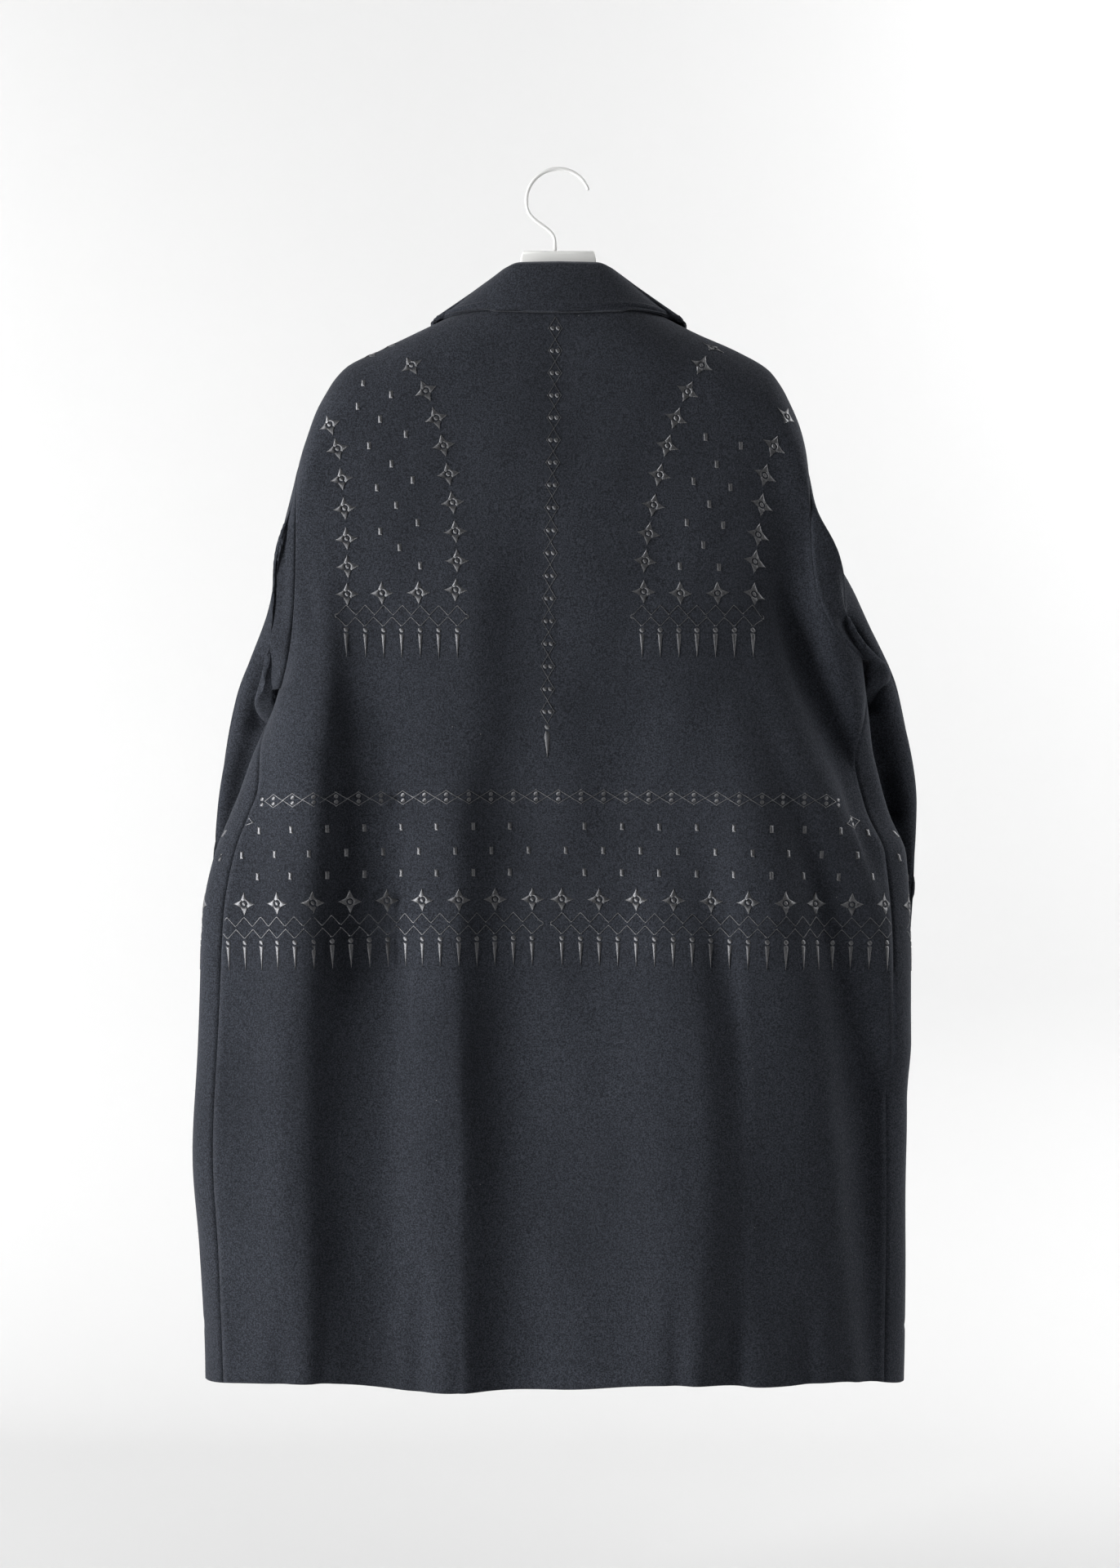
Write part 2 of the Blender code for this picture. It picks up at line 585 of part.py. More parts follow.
def collar():
    """The collar's under side, from the neck seam up over the roll and down to its outer edge."""
    turns = np.array([-turn for turn in FRONT_TURNS[:0:-1]] + [-turn for turn in BACK_TURNS[:0:-1]])
    turns = np.concatenate((turns, [0.0], -turns[::-1]))
    keys = column(COLLAR, "turn")
    stations = []
    for turn in turns:
        side = LEFT if turn <= 0.0 else RIGHT
        size = abs(turn)
        face = "back" if size < 1.0 else "front"
        facing = 1.0 if face == "back" else -1.0
        value = {}
        for name in CollarStation._fields:
            value[name] = float(smooth_curve(keys, column(COLLAR, name), size))
        neck_depth = panel_depth(side, value["neck_across"], value["neck_drop"], face)
        if face == "front":
            layer = under_layer(side, np.array(value["neck_across"]), value["neck_drop"])
            neck_depth = neck_depth - layer
        if size == 1.0:
            neck_depth = 0.0
        neck = np.array((value["neck_across"], facing * neck_depth, -value["neck_drop"]))
        roll = np.array((value["roll_across"], value["roll_back"], -value["roll_drop"]))
        edge_depth = panel_depth(side, value["edge_across"], value["edge_drop"], face) + COLLAR_CLEARANCE
        if size == 1.0:
            edge_depth = 0.0
        edge = np.array((value["edge_across"], facing * edge_depth, -value["edge_drop"]))
        outward = edge - roll
        outward[2] = 0.0
        outward = outward / np.linalg.norm(outward)
        up = np.array((0.0, 0.0, 1.0))
        radius = COLLAR_FOLD_RADIUS
        path = [
            neck,
            neck * 0.5 + (roll - outward * radius) * 0.5,
            roll - outward * radius,
            roll + up * radius * COLLAR_FOLD_RISE,
            roll + outward * radius,
        ]
        for part in COLLAR_FALL_STOPS:
            point = (roll + outward * radius) * (1.0 - part) + edge * part
            path.append(lift_off_panel(side, point, facing))
        stations.append([point * np.array((side.sign, 1.0, 1.0)) for point in path])
    return np.array(stations)


def lift_off_panel(side, point, facing):
    """Move a point of the collar out, where it would lie too close to the panel under it."""
    face = "back" if facing > 0.0 else "front"
    drop = -point[2]
    ridge = float(ridge_drop(side, point[0]))
    below_round = max(drop, ridge + SHOULDER_ROUND)
    full_depth = float(panel_depth(side, point[0], below_round, face))
    part = min(abs(point[1]) / full_depth, 1.0)
    lifted = point.copy()
    if part < COLLAR_LIES_ON_TOP:
        surface = ridge + SHOULDER_ROUND * (1.0 - math.sqrt(1.0 - part * part))
        lifted[2] = max(point[2], COLLAR_CLEARANCE - surface)
    elif drop > ridge:
        depth = float(panel_depth(side, point[0], drop, face))
        lifted[1] = facing * max(abs(point[1]), depth + COLLAR_CLEARANCE)
    return lifted


def grid_faces(rows, columns, closed):
    """Quads of a grid, wound so that they face out when rows run down and columns run to +X to -X."""
    faces = []
    last = columns if closed else columns - 1
    for row in range(rows - 1):
        for place in range(last):
            following = (place + 1) % columns
            faces.append((
                row * columns + place,
                (row + 1) * columns + place,
                (row + 1) * columns + following,
                row * columns + following,
            ))
    return faces


def corner_key(point):
    return tuple(int(round(value * 1e6)) for value in point)


def add_normals(sums, grid, closed, flip):
    """Add each quad's normal to its corners, so that pieces that share a seam share its normal."""
    rows, columns = grid.shape[:2]
    points = grid.reshape(-1, 3)
    for face in grid_faces(rows, columns, closed):
        corners = points[list(face)]
        normal = np.cross(corners[2] - corners[0], corners[3] - corners[1]) * flip
        for corner in corners:
            key = corner_key(corner)
            sums[key] = sums.get(key, np.zeros(3)) + normal


def pull_in_edges(grid, closed):
    """Draw the free edges of a piece in by half of a seam's gap, square to the edge."""
    pulled = grid.copy()
    pairs = [((0, slice(None)), (1, slice(None))), ((-1, slice(None)), (-2, slice(None)))]
    if not closed:
        pairs += [((slice(None), 0), (slice(None), 1)), ((slice(None), -1), (slice(None), -2))]
    for edge, inner in pairs:
        line = grid[edge]
        if closed:
            along = np.roll(line, -1, axis=0) - np.roll(line, 1, axis=0)
        else:
            along = np.gradient(line, axis=0)
        along = along / np.maximum(np.linalg.norm(along, axis=-1, keepdims=True), 1e-9)
        way = grid[inner] - line
        way = way - along * np.sum(way * along, axis=-1, keepdims=True)
        length = np.linalg.norm(way, axis=-1, keepdims=True)
        pulled[edge] = pulled[edge] + way / np.maximum(length, 1e-9) * SEAM_PULL
    return pulled


def wall_object(name, grid, closed, flip, normals, material):
    """A closed wall between a grid and the same grid set in by the cloth's thickness."""
    rows, columns = grid.shape[:2]
    outer = grid
    inner = np.empty_like(grid)
    for row in range(rows):
        for place in range(columns):
            normal = normals[corner_key(grid[row, place])]
            inner[row, place] = grid[row, place] - normal / np.linalg.norm(normal) * WALL
    outer = pull_in_edges(outer, closed)
    inner = pull_in_edges(inner, closed)
    count = rows * columns
    points = np.concatenate((outer.reshape(-1, 3), inner.reshape(-1, 3)))
    faces = []
    for face in grid_faces(rows, columns, closed):
        outside = face if flip > 0 else face[::-1]
        faces.append(outside)
        faces.append(tuple(corner + count for corner in outside[::-1]))
    mesh = bpy.data.meshes.new(name)
    mesh.from_pydata([tuple(point) for point in points], [], faces)
    work = bmesh.new()
    work.from_mesh(mesh)
    work.verts.ensure_lookup_table()
    keys = [corner_key(point) for point in grid.reshape(-1, 3)]
    for first, second in rim_pairs(rows, columns, closed):
        if keys[first] > keys[second]:
            first, second = second, first
        for corners in ((first, second, second + count), (first, second + count, first + count)):
            work.faces.new([work.verts[corner] for corner in corners])
    bmesh.ops.recalc_face_normals(work, faces=work.faces)
    bmesh.ops.triangulate(work, faces=work.faces, quad_method="SHORT_EDGE")
    work.to_mesh(mesh)
    work.free()
    mesh.shade_smooth()
    mesh.materials.append(material)
    return link(name, mesh)


def rim_pairs(rows, columns, closed):
    pairs = []
    last = columns if closed else columns - 1
    for place in range(last):
        following = (place + 1) % columns
        pairs.append((place, following))
        pairs.append(((rows - 1) * columns + following, (rows - 1) * columns + place))
    if not closed:
        for row in range(rows - 1):
            pairs.append(((row + 1) * columns, row * columns))
            pairs.append((row * columns + columns - 1, (row + 1) * columns + columns - 1))
    return pairs


def link(name, data):
    piece = bpy.data.objects.new(name, data)
    bpy.context.scene.collection.objects.link(piece)
    return piece


def make_material(values):
    name, colour, roughness, metallic = values
    material = bpy.data.materials.new(name)
    material.use_nodes = True
    shader = material.node_tree.nodes["Principled BSDF"]
    shader.inputs["Base Color"].default_value = colour
    shader.inputs["Roughness"].default_value = roughness
    shader.inputs["Metallic"].default_value = metallic
    return material


def hanger_body(material):
    """The hanger's two arms and its flat neck, as one run of crowned sections."""
    tip_begins = HANGER_TIP_ACROSS - HANGER_TIP_ROUND
    neck_ends = HANGER_NECK_ACROSS + HANGER_NECK_FILLET
    near_neck = [neck_ends, HANGER_NECK_ACROSS + 0.375 * HANGER_NECK_FILLET, HANGER_NECK_ACROSS]
    stations = []
    for side in (LEFT, RIGHT):
        near_tip = HANGER_TIP_ACROSS - HANGER_TIP_STATION
        under_seam = [value for value in shoulder_edge(side)[0] if value < near_tip - HANGER_TIP_STATION]
        arm = [HANGER_TIP_ACROSS, near_tip] + under_seam + near_neck + [HANGER_NECK_STATION]
        stations += [(side, value) for value in (arm if side is LEFT else arm[::-1])]

    rings = []
    for side, distance in stations:
        inside = NECK_HALF_WIDTH - distance
        line = float(ridge_drop(side, max(distance, NECK_HALF_WIDTH)))
        line = line - HANGER_ARM_SLOPE * max(inside, 0.0)
        lowered = HANGER_NECK_LOWERED * float(smooth_step(inside / HANGER_LOWERED_OVER + 1.0))
        top = line + WALL + HANGER_UNDER_CLOTH + lowered
        part = distance / HANGER_TIP_ACROSS
        bottom = top + HANGER_ARM_HEIGHT + (HANGER_TIP_HEIGHT - HANGER_ARM_HEIGHT) * part
        tip = max(0.0, (distance - tip_begins) / HANGER_TIP_ROUND)
        top = top + HANGER_TIP_TAPER * tip
        bottom = bottom - HANGER_TIP_TAPER * tip
        half = HANGER_HALF_THICKNESS - HANGER_TIP_THINNER * tip
        neck = float(smooth_step((neck_ends - distance) / HANGER_NECK_FILLET))
        top = top + (HANGER_NECK_DROP - top) * neck
        edge = HANGER_EDGE
        outline = (
            (half, top + edge + HANGER_CROWN), (half * 0.5, top + HANGER_CROWN), (0.0, top),
            (-half * 0.5, top + HANGER_CROWN), (-half, top + edge + HANGER_CROWN),
            (-half, bottom - edge), (edge - half, bottom), (half - edge, bottom), (half, bottom - edge),
        )
        rings.append([(side.sign * distance, depth, -drop) for depth, drop in outline])
    return rings_object("hanger_body", rings, material)


def rings_object(name, rings, material):
    """A closed solid through rings of equal count, with a flat cap on each end."""
    work = bmesh.new()
    loops = [[work.verts.new(point) for point in ring] for ring in rings]
    for first, second in zip(loops, loops[1:]):
        for place in range(len(first)):
            following = (place + 1) % len(first)
            work.faces.new((first[place], first[following], second[following], second[place]))
    work.faces.new(loops[0])
    work.faces.new(loops[-1][::-1])
    bmesh.ops.recalc_face_normals(work, faces=work.faces)
    mesh = bpy.data.meshes.new(name)
    work.to_mesh(mesh)
    work.free()
    mesh.materials.append(material)
    return link(name, mesh)


def hanger_hook(material):
    """Round wire: a hook open on one side, turned back over its stem with a double bend."""
    centre_drop = HOOK_RADIUS - WIRE_RADIUS
    points = []
    for step in range(HOOK_STEPS + 1):
        turned = HOOK_OPEN_ANGLE + (HOOK_TURNS_BACK_AT - HOOK_OPEN_ANGLE) * step / HOOK_STEPS
        angle = math.radians(turned)
        points.append((-HOOK_RADIUS * math.cos(angle), 0.0, HOOK_RADIUS * math.sin(angle) - centre_drop))
    last_angle = math.radians(HOOK_TURNS_BACK_AT)
    heading = np.array((math.sin(last_angle), 0.0, math.cos(last_angle)))
    start = np.array(points[-1])
    end = np.array((STEM_ACROSS, 0.0, STEM_LENGTH - HANGER_NECK_DROP))
    after_start = start + heading * BEND_REACH
    before_end = end + np.array((0.0, 0.0, BEND_REACH))
    for step in range(1, BEND_STEPS + 1):
        part = step / BEND_STEPS
        rest = 1.0 - part
        point = rest ** 3 * start + 3.0 * rest ** 2 * part * after_start
        point = point + 3.0 * rest * part ** 2 * before_end + part ** 3 * end
        points.append(tuple(point))
    points.append((STEM_ACROSS, 0.0, HOOK_SEAT - HANGER_NECK_DROP))
    curve = bpy.data.curves.new("hanger_hook", "CURVE")
    curve.dimensions = "3D"
    spline = curve.splines.new("POLY")
    spline.points.add(len(points) - 1)
    for place, point in zip(spline.points, points):
        place.co = (*point, 1.0)
    curve.bevel_depth = WIRE_RADIUS
    curve.bevel_resolution = 2
    curve.use_fill_caps = True
    curve.materials.append(material)
    return link("hanger_hook", curve)


def button(number, drop, material):
    """A plain turned button with a raised rim, sewn on the right front's outer side."""
    work = bmesh.new()
    bmesh.ops.create_cone(
        work, cap_ends=True, segments=BUTTON_SIDES, radius1=BUTTON_RADIUS, radius2=BUTTON_RADIUS,
        depth=BUTTON_THICKNESS,
    )
    top = max(work.faces, key=lambda face: face.calc_center_median().z)
    outer_edges = list(top.edges)
    bmesh.ops.inset_individual(work, faces=[top], thickness=BUTTON_RIM)
    slope = BUTTON_RIM * BUTTON_RIM_SLOPE
    bmesh.ops.inset_individual(work, faces=[top], thickness=slope, depth=-BUTTON_DISH)
    bevel = BUTTON_RIM * BUTTON_BEVEL
    bmesh.ops.bevel(work, geom=outer_edges, offset=bevel, segments=1, affect="EDGES", profile=0.5)
    spread = np.linspace(-BUTTON_RADIUS, BUTTON_RADIUS, 3)
    across, under = np.meshgrid(spread, drop + spread)
    depth = panel_depth(RIGHT, across, under, "front") + fold_height(RIGHT_FRONT_FOLDS, across, under)
    seat = float(np.max(depth)) + BUTTON_SEAT
    turn = Matrix.Rotation(math.radians(90.0), 4, "X")
    move = Matrix.Translation((0.0, -seat - BUTTON_THICKNESS / 2.0, -drop))
    bmesh.ops.transform(work, matrix=move @ turn, verts=work.verts)
    mesh = bpy.data.meshes.new("button_%d" % number)
    work.to_mesh(mesh)
    work.free()
    mesh.materials.append(material)
    return link("button_%d" % number, mesh)


def clear_scene():
    for piece in list(bpy.data.objects):
        bpy.data.objects.remove(piece, do_unlink=True)


def main():
    clear_scene()
    wool = make_material(WOOL)
    cloth = (
        ("back", back_panel(), False, 1),
        ("front_left", front_panel(LEFT), False, -1),
        ("front_right", front_panel(RIGHT), False, 1),
        ("sleeve_left", sleeve(LEFT), True, 1),
        ("sleeve_right", sleeve(RIGHT), True, -1),
        ("collar", collar().transpose(1, 0, 2), False, -1),
    )
    normals = {}
    for name, grid, closed, flip in cloth:
        add_normals(normals, grid, closed, flip)
    for name, grid, closed, flip in cloth:
        wall_object(name, grid, closed, flip, normals, wool)

    horn = make_material(HORN)
    for number, drop in enumerate(BUTTON_DROPS, start=1):
        button(number, drop, horn)
    hanger_body(make_material(WHITE_PLASTIC))
    hanger_hook(make_material(WHITE_METAL))


main()
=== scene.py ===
"""Embroidered wool coat on its hanger: cloth, stitching, embroidery, buttons, hanger and stage.

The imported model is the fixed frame. The origin is the inside top of the hanger's hook, +Z is up,
the coat's front faces -Y and its back +Y, and the wearer's left is +X. Heights on the coat are
given as a drop below the origin, and 'across' is measured from the centre line.
"""
import json
import math
from collections import namedtuple

import bmesh
import bpy
import numpy as np
from bpy.props import FloatProperty, FloatVectorProperty, PointerProperty
from mathutils import Matrix, Vector
from mathutils.bvhtree import BVHTree

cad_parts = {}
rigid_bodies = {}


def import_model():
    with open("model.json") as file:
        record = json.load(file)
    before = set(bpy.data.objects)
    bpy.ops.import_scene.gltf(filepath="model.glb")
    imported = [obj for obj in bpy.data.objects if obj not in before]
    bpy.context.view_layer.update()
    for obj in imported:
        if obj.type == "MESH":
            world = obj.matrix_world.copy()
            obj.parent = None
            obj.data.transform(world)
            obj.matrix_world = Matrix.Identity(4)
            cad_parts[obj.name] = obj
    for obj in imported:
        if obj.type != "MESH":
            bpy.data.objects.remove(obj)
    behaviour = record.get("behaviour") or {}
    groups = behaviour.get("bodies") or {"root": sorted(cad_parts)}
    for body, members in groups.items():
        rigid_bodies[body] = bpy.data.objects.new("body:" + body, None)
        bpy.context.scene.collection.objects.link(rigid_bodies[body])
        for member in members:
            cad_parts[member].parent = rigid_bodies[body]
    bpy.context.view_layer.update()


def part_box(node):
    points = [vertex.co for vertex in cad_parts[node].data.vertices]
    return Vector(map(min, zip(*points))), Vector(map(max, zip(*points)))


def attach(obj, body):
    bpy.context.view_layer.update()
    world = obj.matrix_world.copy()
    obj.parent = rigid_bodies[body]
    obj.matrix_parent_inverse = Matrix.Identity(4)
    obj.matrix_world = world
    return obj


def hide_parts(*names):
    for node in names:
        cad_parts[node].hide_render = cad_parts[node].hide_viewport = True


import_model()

bl_info = {
    "name": "Embroidered Coat",
    "version": (1, 0, 0),
    "blender": (4, 5, 0),
    "location": "View3D > Sidebar > Coat",
    "description": "Felted wool coat with tone-on-tone embroidery on a contoured hanger",
    "category": "Add Mesh",
}


def table(kind, rows):
    return tuple(kind(*row) for row in rows)


# Cloth
WALL = 0.0025
CLEAR_OF_CLOTH = 0.0075

# Body
HEM_DROP = 1.063
SIDE_ROUNDNESS = 2.4
SHOULDER_ROUND = 0.05
SEAM_BEHIND_EDGE = 0.41
SEAM_SETTLES_OVER = 0.1
ARMHOLE_SETTLES_OVER = 0.08
ARMHOLE_CURVE = 5
MID_BODY_DROP = 0.8
SHOULDER_SAMPLES = 800

# Folds: shares of a fold's length, of a panel's width and of the armhole's height
FOLD_GROWS_OVER = 0.35
FOLD_FADES_OVER = 0.15
FOLD_EDGE_FADE = 0.08
FOLD_SHOULDER_FADE = 0.125

# A plain section of the body, for spacing the columns by length
GIRTH_ACROSS = 0.31
GIRTH_DEPTH = 0.052
GIRTH_TURN = math.pi * 1.2
GIRTH_STEPS = 2400

# Neck and front opening
NECK_HALF_WIDTH = 0.068
NECK_RIDGE_RISE = 0.02
FRONT_EDGE_ACROSS = 0.036
FRONT_EDGE_DROP = 0.182
LAYER_STEP = WALL + 0.0012
LAYER_FULL = 0.045
LAYER_FADE = 0.065
LAYER_TOP = 0.14
LAYER_TOP_FADE = 0.035

# Collar
COLLAR_FOLD_RADIUS = 0.0016
COLLAR_FOLD_RISE = 0.8
COLLAR_FALL_STOPS = (0.3, 0.65, 1.0)
COLLAR_CLEARANCE = 0.0019
COLLAR_LIES_ON_TOP = 0.75

# Hanger and hook
HANGER_HALF_THICKNESS = 0.0065
HANGER_EDGE = 0.003
HANGER_UNDER_CLOTH = 0.0006
HANGER_NECK_LOWERED = 0.0045
HANGER_CROWN = 0.0014
HANGER_TIP_ACROSS = 0.184
HANGER_NECK_ACROSS = 0.031
HANGER_NECK_DROP = 0.071
HANGER_ARM_SLOPE = 0.49
HANGER_ARM_HEIGHT = 0.03
HANGER_TIP_HEIGHT = 0.016
HANGER_TIP_ROUND = 0.0035
HANGER_TIP_TAPER = 0.004
HANGER_TIP_THINNER = 0.0025
HANGER_TIP_STATIONS = (0.0, 0.0012, 0.003)
HANGER_ARM_STATIONS = 40
HANGER_FILLET_STATIONS = 9
HANGER_TOP_POINTS = 13
HANGER_UNDER_POINTS = 9
HANGER_ARM_FROM_TIP = 0.008
HANGER_ARM_FROM_NECK = 0.004
HANGER_CROWN_POWER = 0.7
HANGER_LOWERED_OVER = 0.02
HANGER_NECK_FILLET = 0.008
HANGER_NECK_STATION = 0.012
HANGER_SHARP = math.radians(50.0)
WIRE_RADIUS = 0.00165
WIRE_SIDES = 20
HOOK_STATIONS = 73
BEND_STATIONS = 33
WIRE_TIP = ((0.9, 0.3), (0.7, 0.65), (0.35, 0.93))
HOOK_RADIUS = 0.0281
HOOK_OPEN_ANGLE = 22.0
HOOK_TURNS_BACK_AT = 197.0
BEND_REACH = 0.013
STEM_ACROSS = 0.003
STEM_LENGTH = 0.008
HOOK_SEAT = 0.0003

# The two sides differ a little, as the coat leans on its hanger. The last two values say how far
# the sleeve leaves the armhole sideways, at its top and at the underarm.
Side = namedtuple(
    "Side", "sign shoulder_across shoulder_drop underarm_drop top_reach leaves_top leaves_underarm",
)
LEFT = Side(1, 0.229, 0.26, 0.457, 0.268, 0.08, 0.24)
RIGHT = Side(-1, 0.22, 0.264, 0.431, 0.2575, 0.12, 0.26)

# The coat's outline from behind, below the underarms, as measured from the centre line
Reach = namedtuple("Reach", "drop across")
LEFT_REACH = table(Reach, (
    (0.457, 0.245), (0.503, 0.261), (0.541, 0.276), (0.57, 0.289), (0.6, 0.3), (0.657, 0.31),
    (0.771, 0.316), (0.858, 0.319), (0.944, 0.315), (1.063, 0.309),
))
RIGHT_REACH = table(Reach, (
    (0.431, 0.268), (0.495, 0.276), (0.543, 0.287), (0.571, 0.295), (0.603, 0.305), (0.657, 0.3075),
    (0.742, 0.305), (0.858, 0.306), (0.944, 0.306), (1.063, 0.304),
))

# The shoulder line, from the side of the neck over the hanger's tip to the armhole
LEFT_SHOULDER = table(Reach, (
    (0.116, 0.068), (0.141, 0.12), (0.16, 0.16), (0.1715, 0.184), (0.183, 0.196), (0.197, 0.205),
    (0.212, 0.213), (0.238, 0.222), (0.26, 0.229),
))
RIGHT_SHOULDER = table(Reach, (
    (0.116, 0.068), (0.143, 0.12), (0.161, 0.16), (0.175, 0.184), (0.19, 0.196), (0.2095, 0.206),
    (0.224, 0.212), (0.243, 0.217), (0.264, 0.22),
))

# How far the middle of each panel stands from the plane of the hanger
Depth = namedtuple("Depth", "drop back front")
DEPTHS = table(Depth, (
    (0.1, 0.034, 0.036), (0.2, 0.04, 0.04), (0.3, 0.044, 0.043), (0.45, 0.046, 0.045),
    (0.6, 0.046, 0.044), (0.8, 0.052, 0.048), (0.95, 0.058, 0.054), (1.063, 0.06, 0.058),
))

# The hem's lower edge, across the back
HemPoint = namedtuple("HemPoint", "across drop")
HEM_LINE = table(HemPoint, (
    (-0.306, 1.066), (-0.24, 1.056), (-0.18, 1.057), (-0.1, 1.053), (0.0, 1.061), (0.125, 1.064),
    (0.21, 1.057), (0.318, 1.063),
))

# The main folds: each is a long crest whose two flanks have their own widths
Fold = namedtuple("Fold", "top bottom across_top across_middle across_bottom height to_left to_right")
BACK_FOLDS = table(Fold, (
    (0.3, 1.2, 0.192, 0.221, 0.21, 0.012, 0.034, 0.022),
    (0.26, 0.64, 0.07, 0.078, 0.088, 0.006, 0.06, 0.03),
    (0.48, 1.2, 0.098, 0.087, 0.086, 0.019, 0.07, 0.03),
    (0.56, 1.2, -0.104, -0.122, -0.098, 0.021, 0.105, 0.026),
    (0.4, 1.2, -0.132, -0.226, -0.27, 0.015, 0.045, 0.021),
    (0.23, 0.64, -0.188, -0.214, -0.272, -0.008, 0.017, 0.022),
))
LEFT_FRONT_FOLDS = table(Fold, (
    (0.42, 1.2, 0.15, 0.175, 0.19, 0.013, 0.026, 0.05),
    (0.3, 1.2, 0.085, 0.098, 0.11, 0.01, 0.03, 0.03),
    (0.56, 1.2, 0.225, 0.245, 0.25, 0.01, 0.022, 0.03),
))
RIGHT_FRONT_FOLDS = table(Fold, (
    (0.46, 1.2, -0.16, -0.172, -0.165, 0.015, 0.055, 0.026),
    (0.28, 1.2, -0.08, -0.092, -0.098, 0.01, 0.032, 0.028),
    (0.6, 1.2, -0.23, -0.24, -0.246, 0.01, 0.03, 0.022),
))

# The sleeve lies flattened between an outer and an inner edge, and hangs forward of the body.
# 'along' runs from the armhole (0) to the cuff (1).
SleeveEdge = namedtuple("SleeveEdge", "along across forward drop")
LEFT_SLEEVE_OUTER = table(SleeveEdge, (
    (0.0, 0.229, 0.0, 0.26), (0.1, 0.242, 0.003, 0.312), (0.25, 0.256, 0.012, 0.382),
    (0.42, 0.287, 0.026, 0.465), (0.6, 0.305, 0.04, 0.56), (0.8, 0.312, 0.052, 0.668),
    (1.0, 0.304, 0.062, 0.778),
))
LEFT_SLEEVE_INNER = table(SleeveEdge, (
    (0.42, 0.156, 0.078, 0.594), (0.6, 0.136, 0.082, 0.655), (0.8, 0.138, 0.087, 0.728),
    (1.0, 0.152, 0.092, 0.8),
))
RIGHT_SLEEVE_OUTER = table(SleeveEdge, (
    (0.0, 0.22, 0.0, 0.264), (0.1, 0.23, 0.003, 0.312), (0.25, 0.265, 0.012, 0.378),
    (0.42, 0.303, 0.026, 0.462), (0.6, 0.321, 0.04, 0.56), (0.8, 0.318, 0.052, 0.665),
    (1.0, 0.306, 0.062, 0.776),
))
RIGHT_SLEEVE_INNER = table(SleeveEdge, (
    (0.42, 0.166, 0.078, 0.586), (0.6, 0.14, 0.082, 0.652), (0.8, 0.14, 0.087, 0.727),
    (1.0, 0.151, 0.092, 0.799),
))
SLEEVE_FLATTENS_AT = 0.42
SLEEVE_HALF_DEPTH_AT_ARM = 0.027
SLEEVE_HALF_DEPTH_AT_CUFF = 0.018
SLEEVE_LEAVES_FORWARD = 0.1
SLEEVE_LEAVES_DOWN = 0.02
SLEEVE_TOP_SHARE = 0.35
SLEEVE_WAY_STEP = 0.02
SLEEVE_SLOPE_STEP = 0.01
SLEEVE_CLEARS_OVER = 0.3
SLEEVE_UNDER_FROM = 0.5
SLEEVE_UNDER_OVER = 0.25
PUSH_CENTRE_ACROSS = 0.19
PUSH_CENTRE_BACK = 0.012
PUSH_STEPS = 120
PUSH_GROWTH = 1.012

# The collar from the centre back (turn 0) over the shoulder (turn 1) to its front end (turn 2)
CollarStation = namedtuple(
    "CollarStation",
    "turn neck_across neck_drop roll_across roll_back roll_drop edge_across edge_drop",
)
COLLAR = table(CollarStation, (
    (0.0, 0.0, 0.11, 0.0, 0.022, 0.088, 0.0, 0.1275),
    (0.5, 0.04, 0.1115, 0.034, 0.019, 0.0882, 0.062, 0.1275),
    (0.8, 0.06, 0.114, 0.045, 0.01, 0.0905, 0.096, 0.131),
    (1.0, 0.068, 0.116, 0.05, 0.0, 0.0945, 0.112, 0.1355),
    (1.3, 0.064, 0.137, 0.046, -0.018, 0.108, 0.114, 0.168),
    (1.65, 0.046, 0.161, 0.034, -0.036, 0.136, 0.094, 0.205),
    (2.0, 0.02, 0.177, 0.017, -0.044, 0.164, 0.052, 0.228),
))

# How finely the cloth is divided
ARMHOLE_ROWS = tuple((1.0 - np.cos(np.linspace(0.0, math.pi, 60))) / 2.0)
BODY_ROWS = tuple(np.linspace(0.0, 1.0, 131)[1:])
SLEEVE_ROWS = tuple(np.linspace(0.0, 1.0, 110))
SHOULDER_COLUMNS = 46
BACK_TURNS = tuple(np.linspace(0.0, 1.0, 24))
FRONT_TURNS = tuple(np.linspace(1.0, 2.0, 20))
OVERLAP_COLUMNS = 6

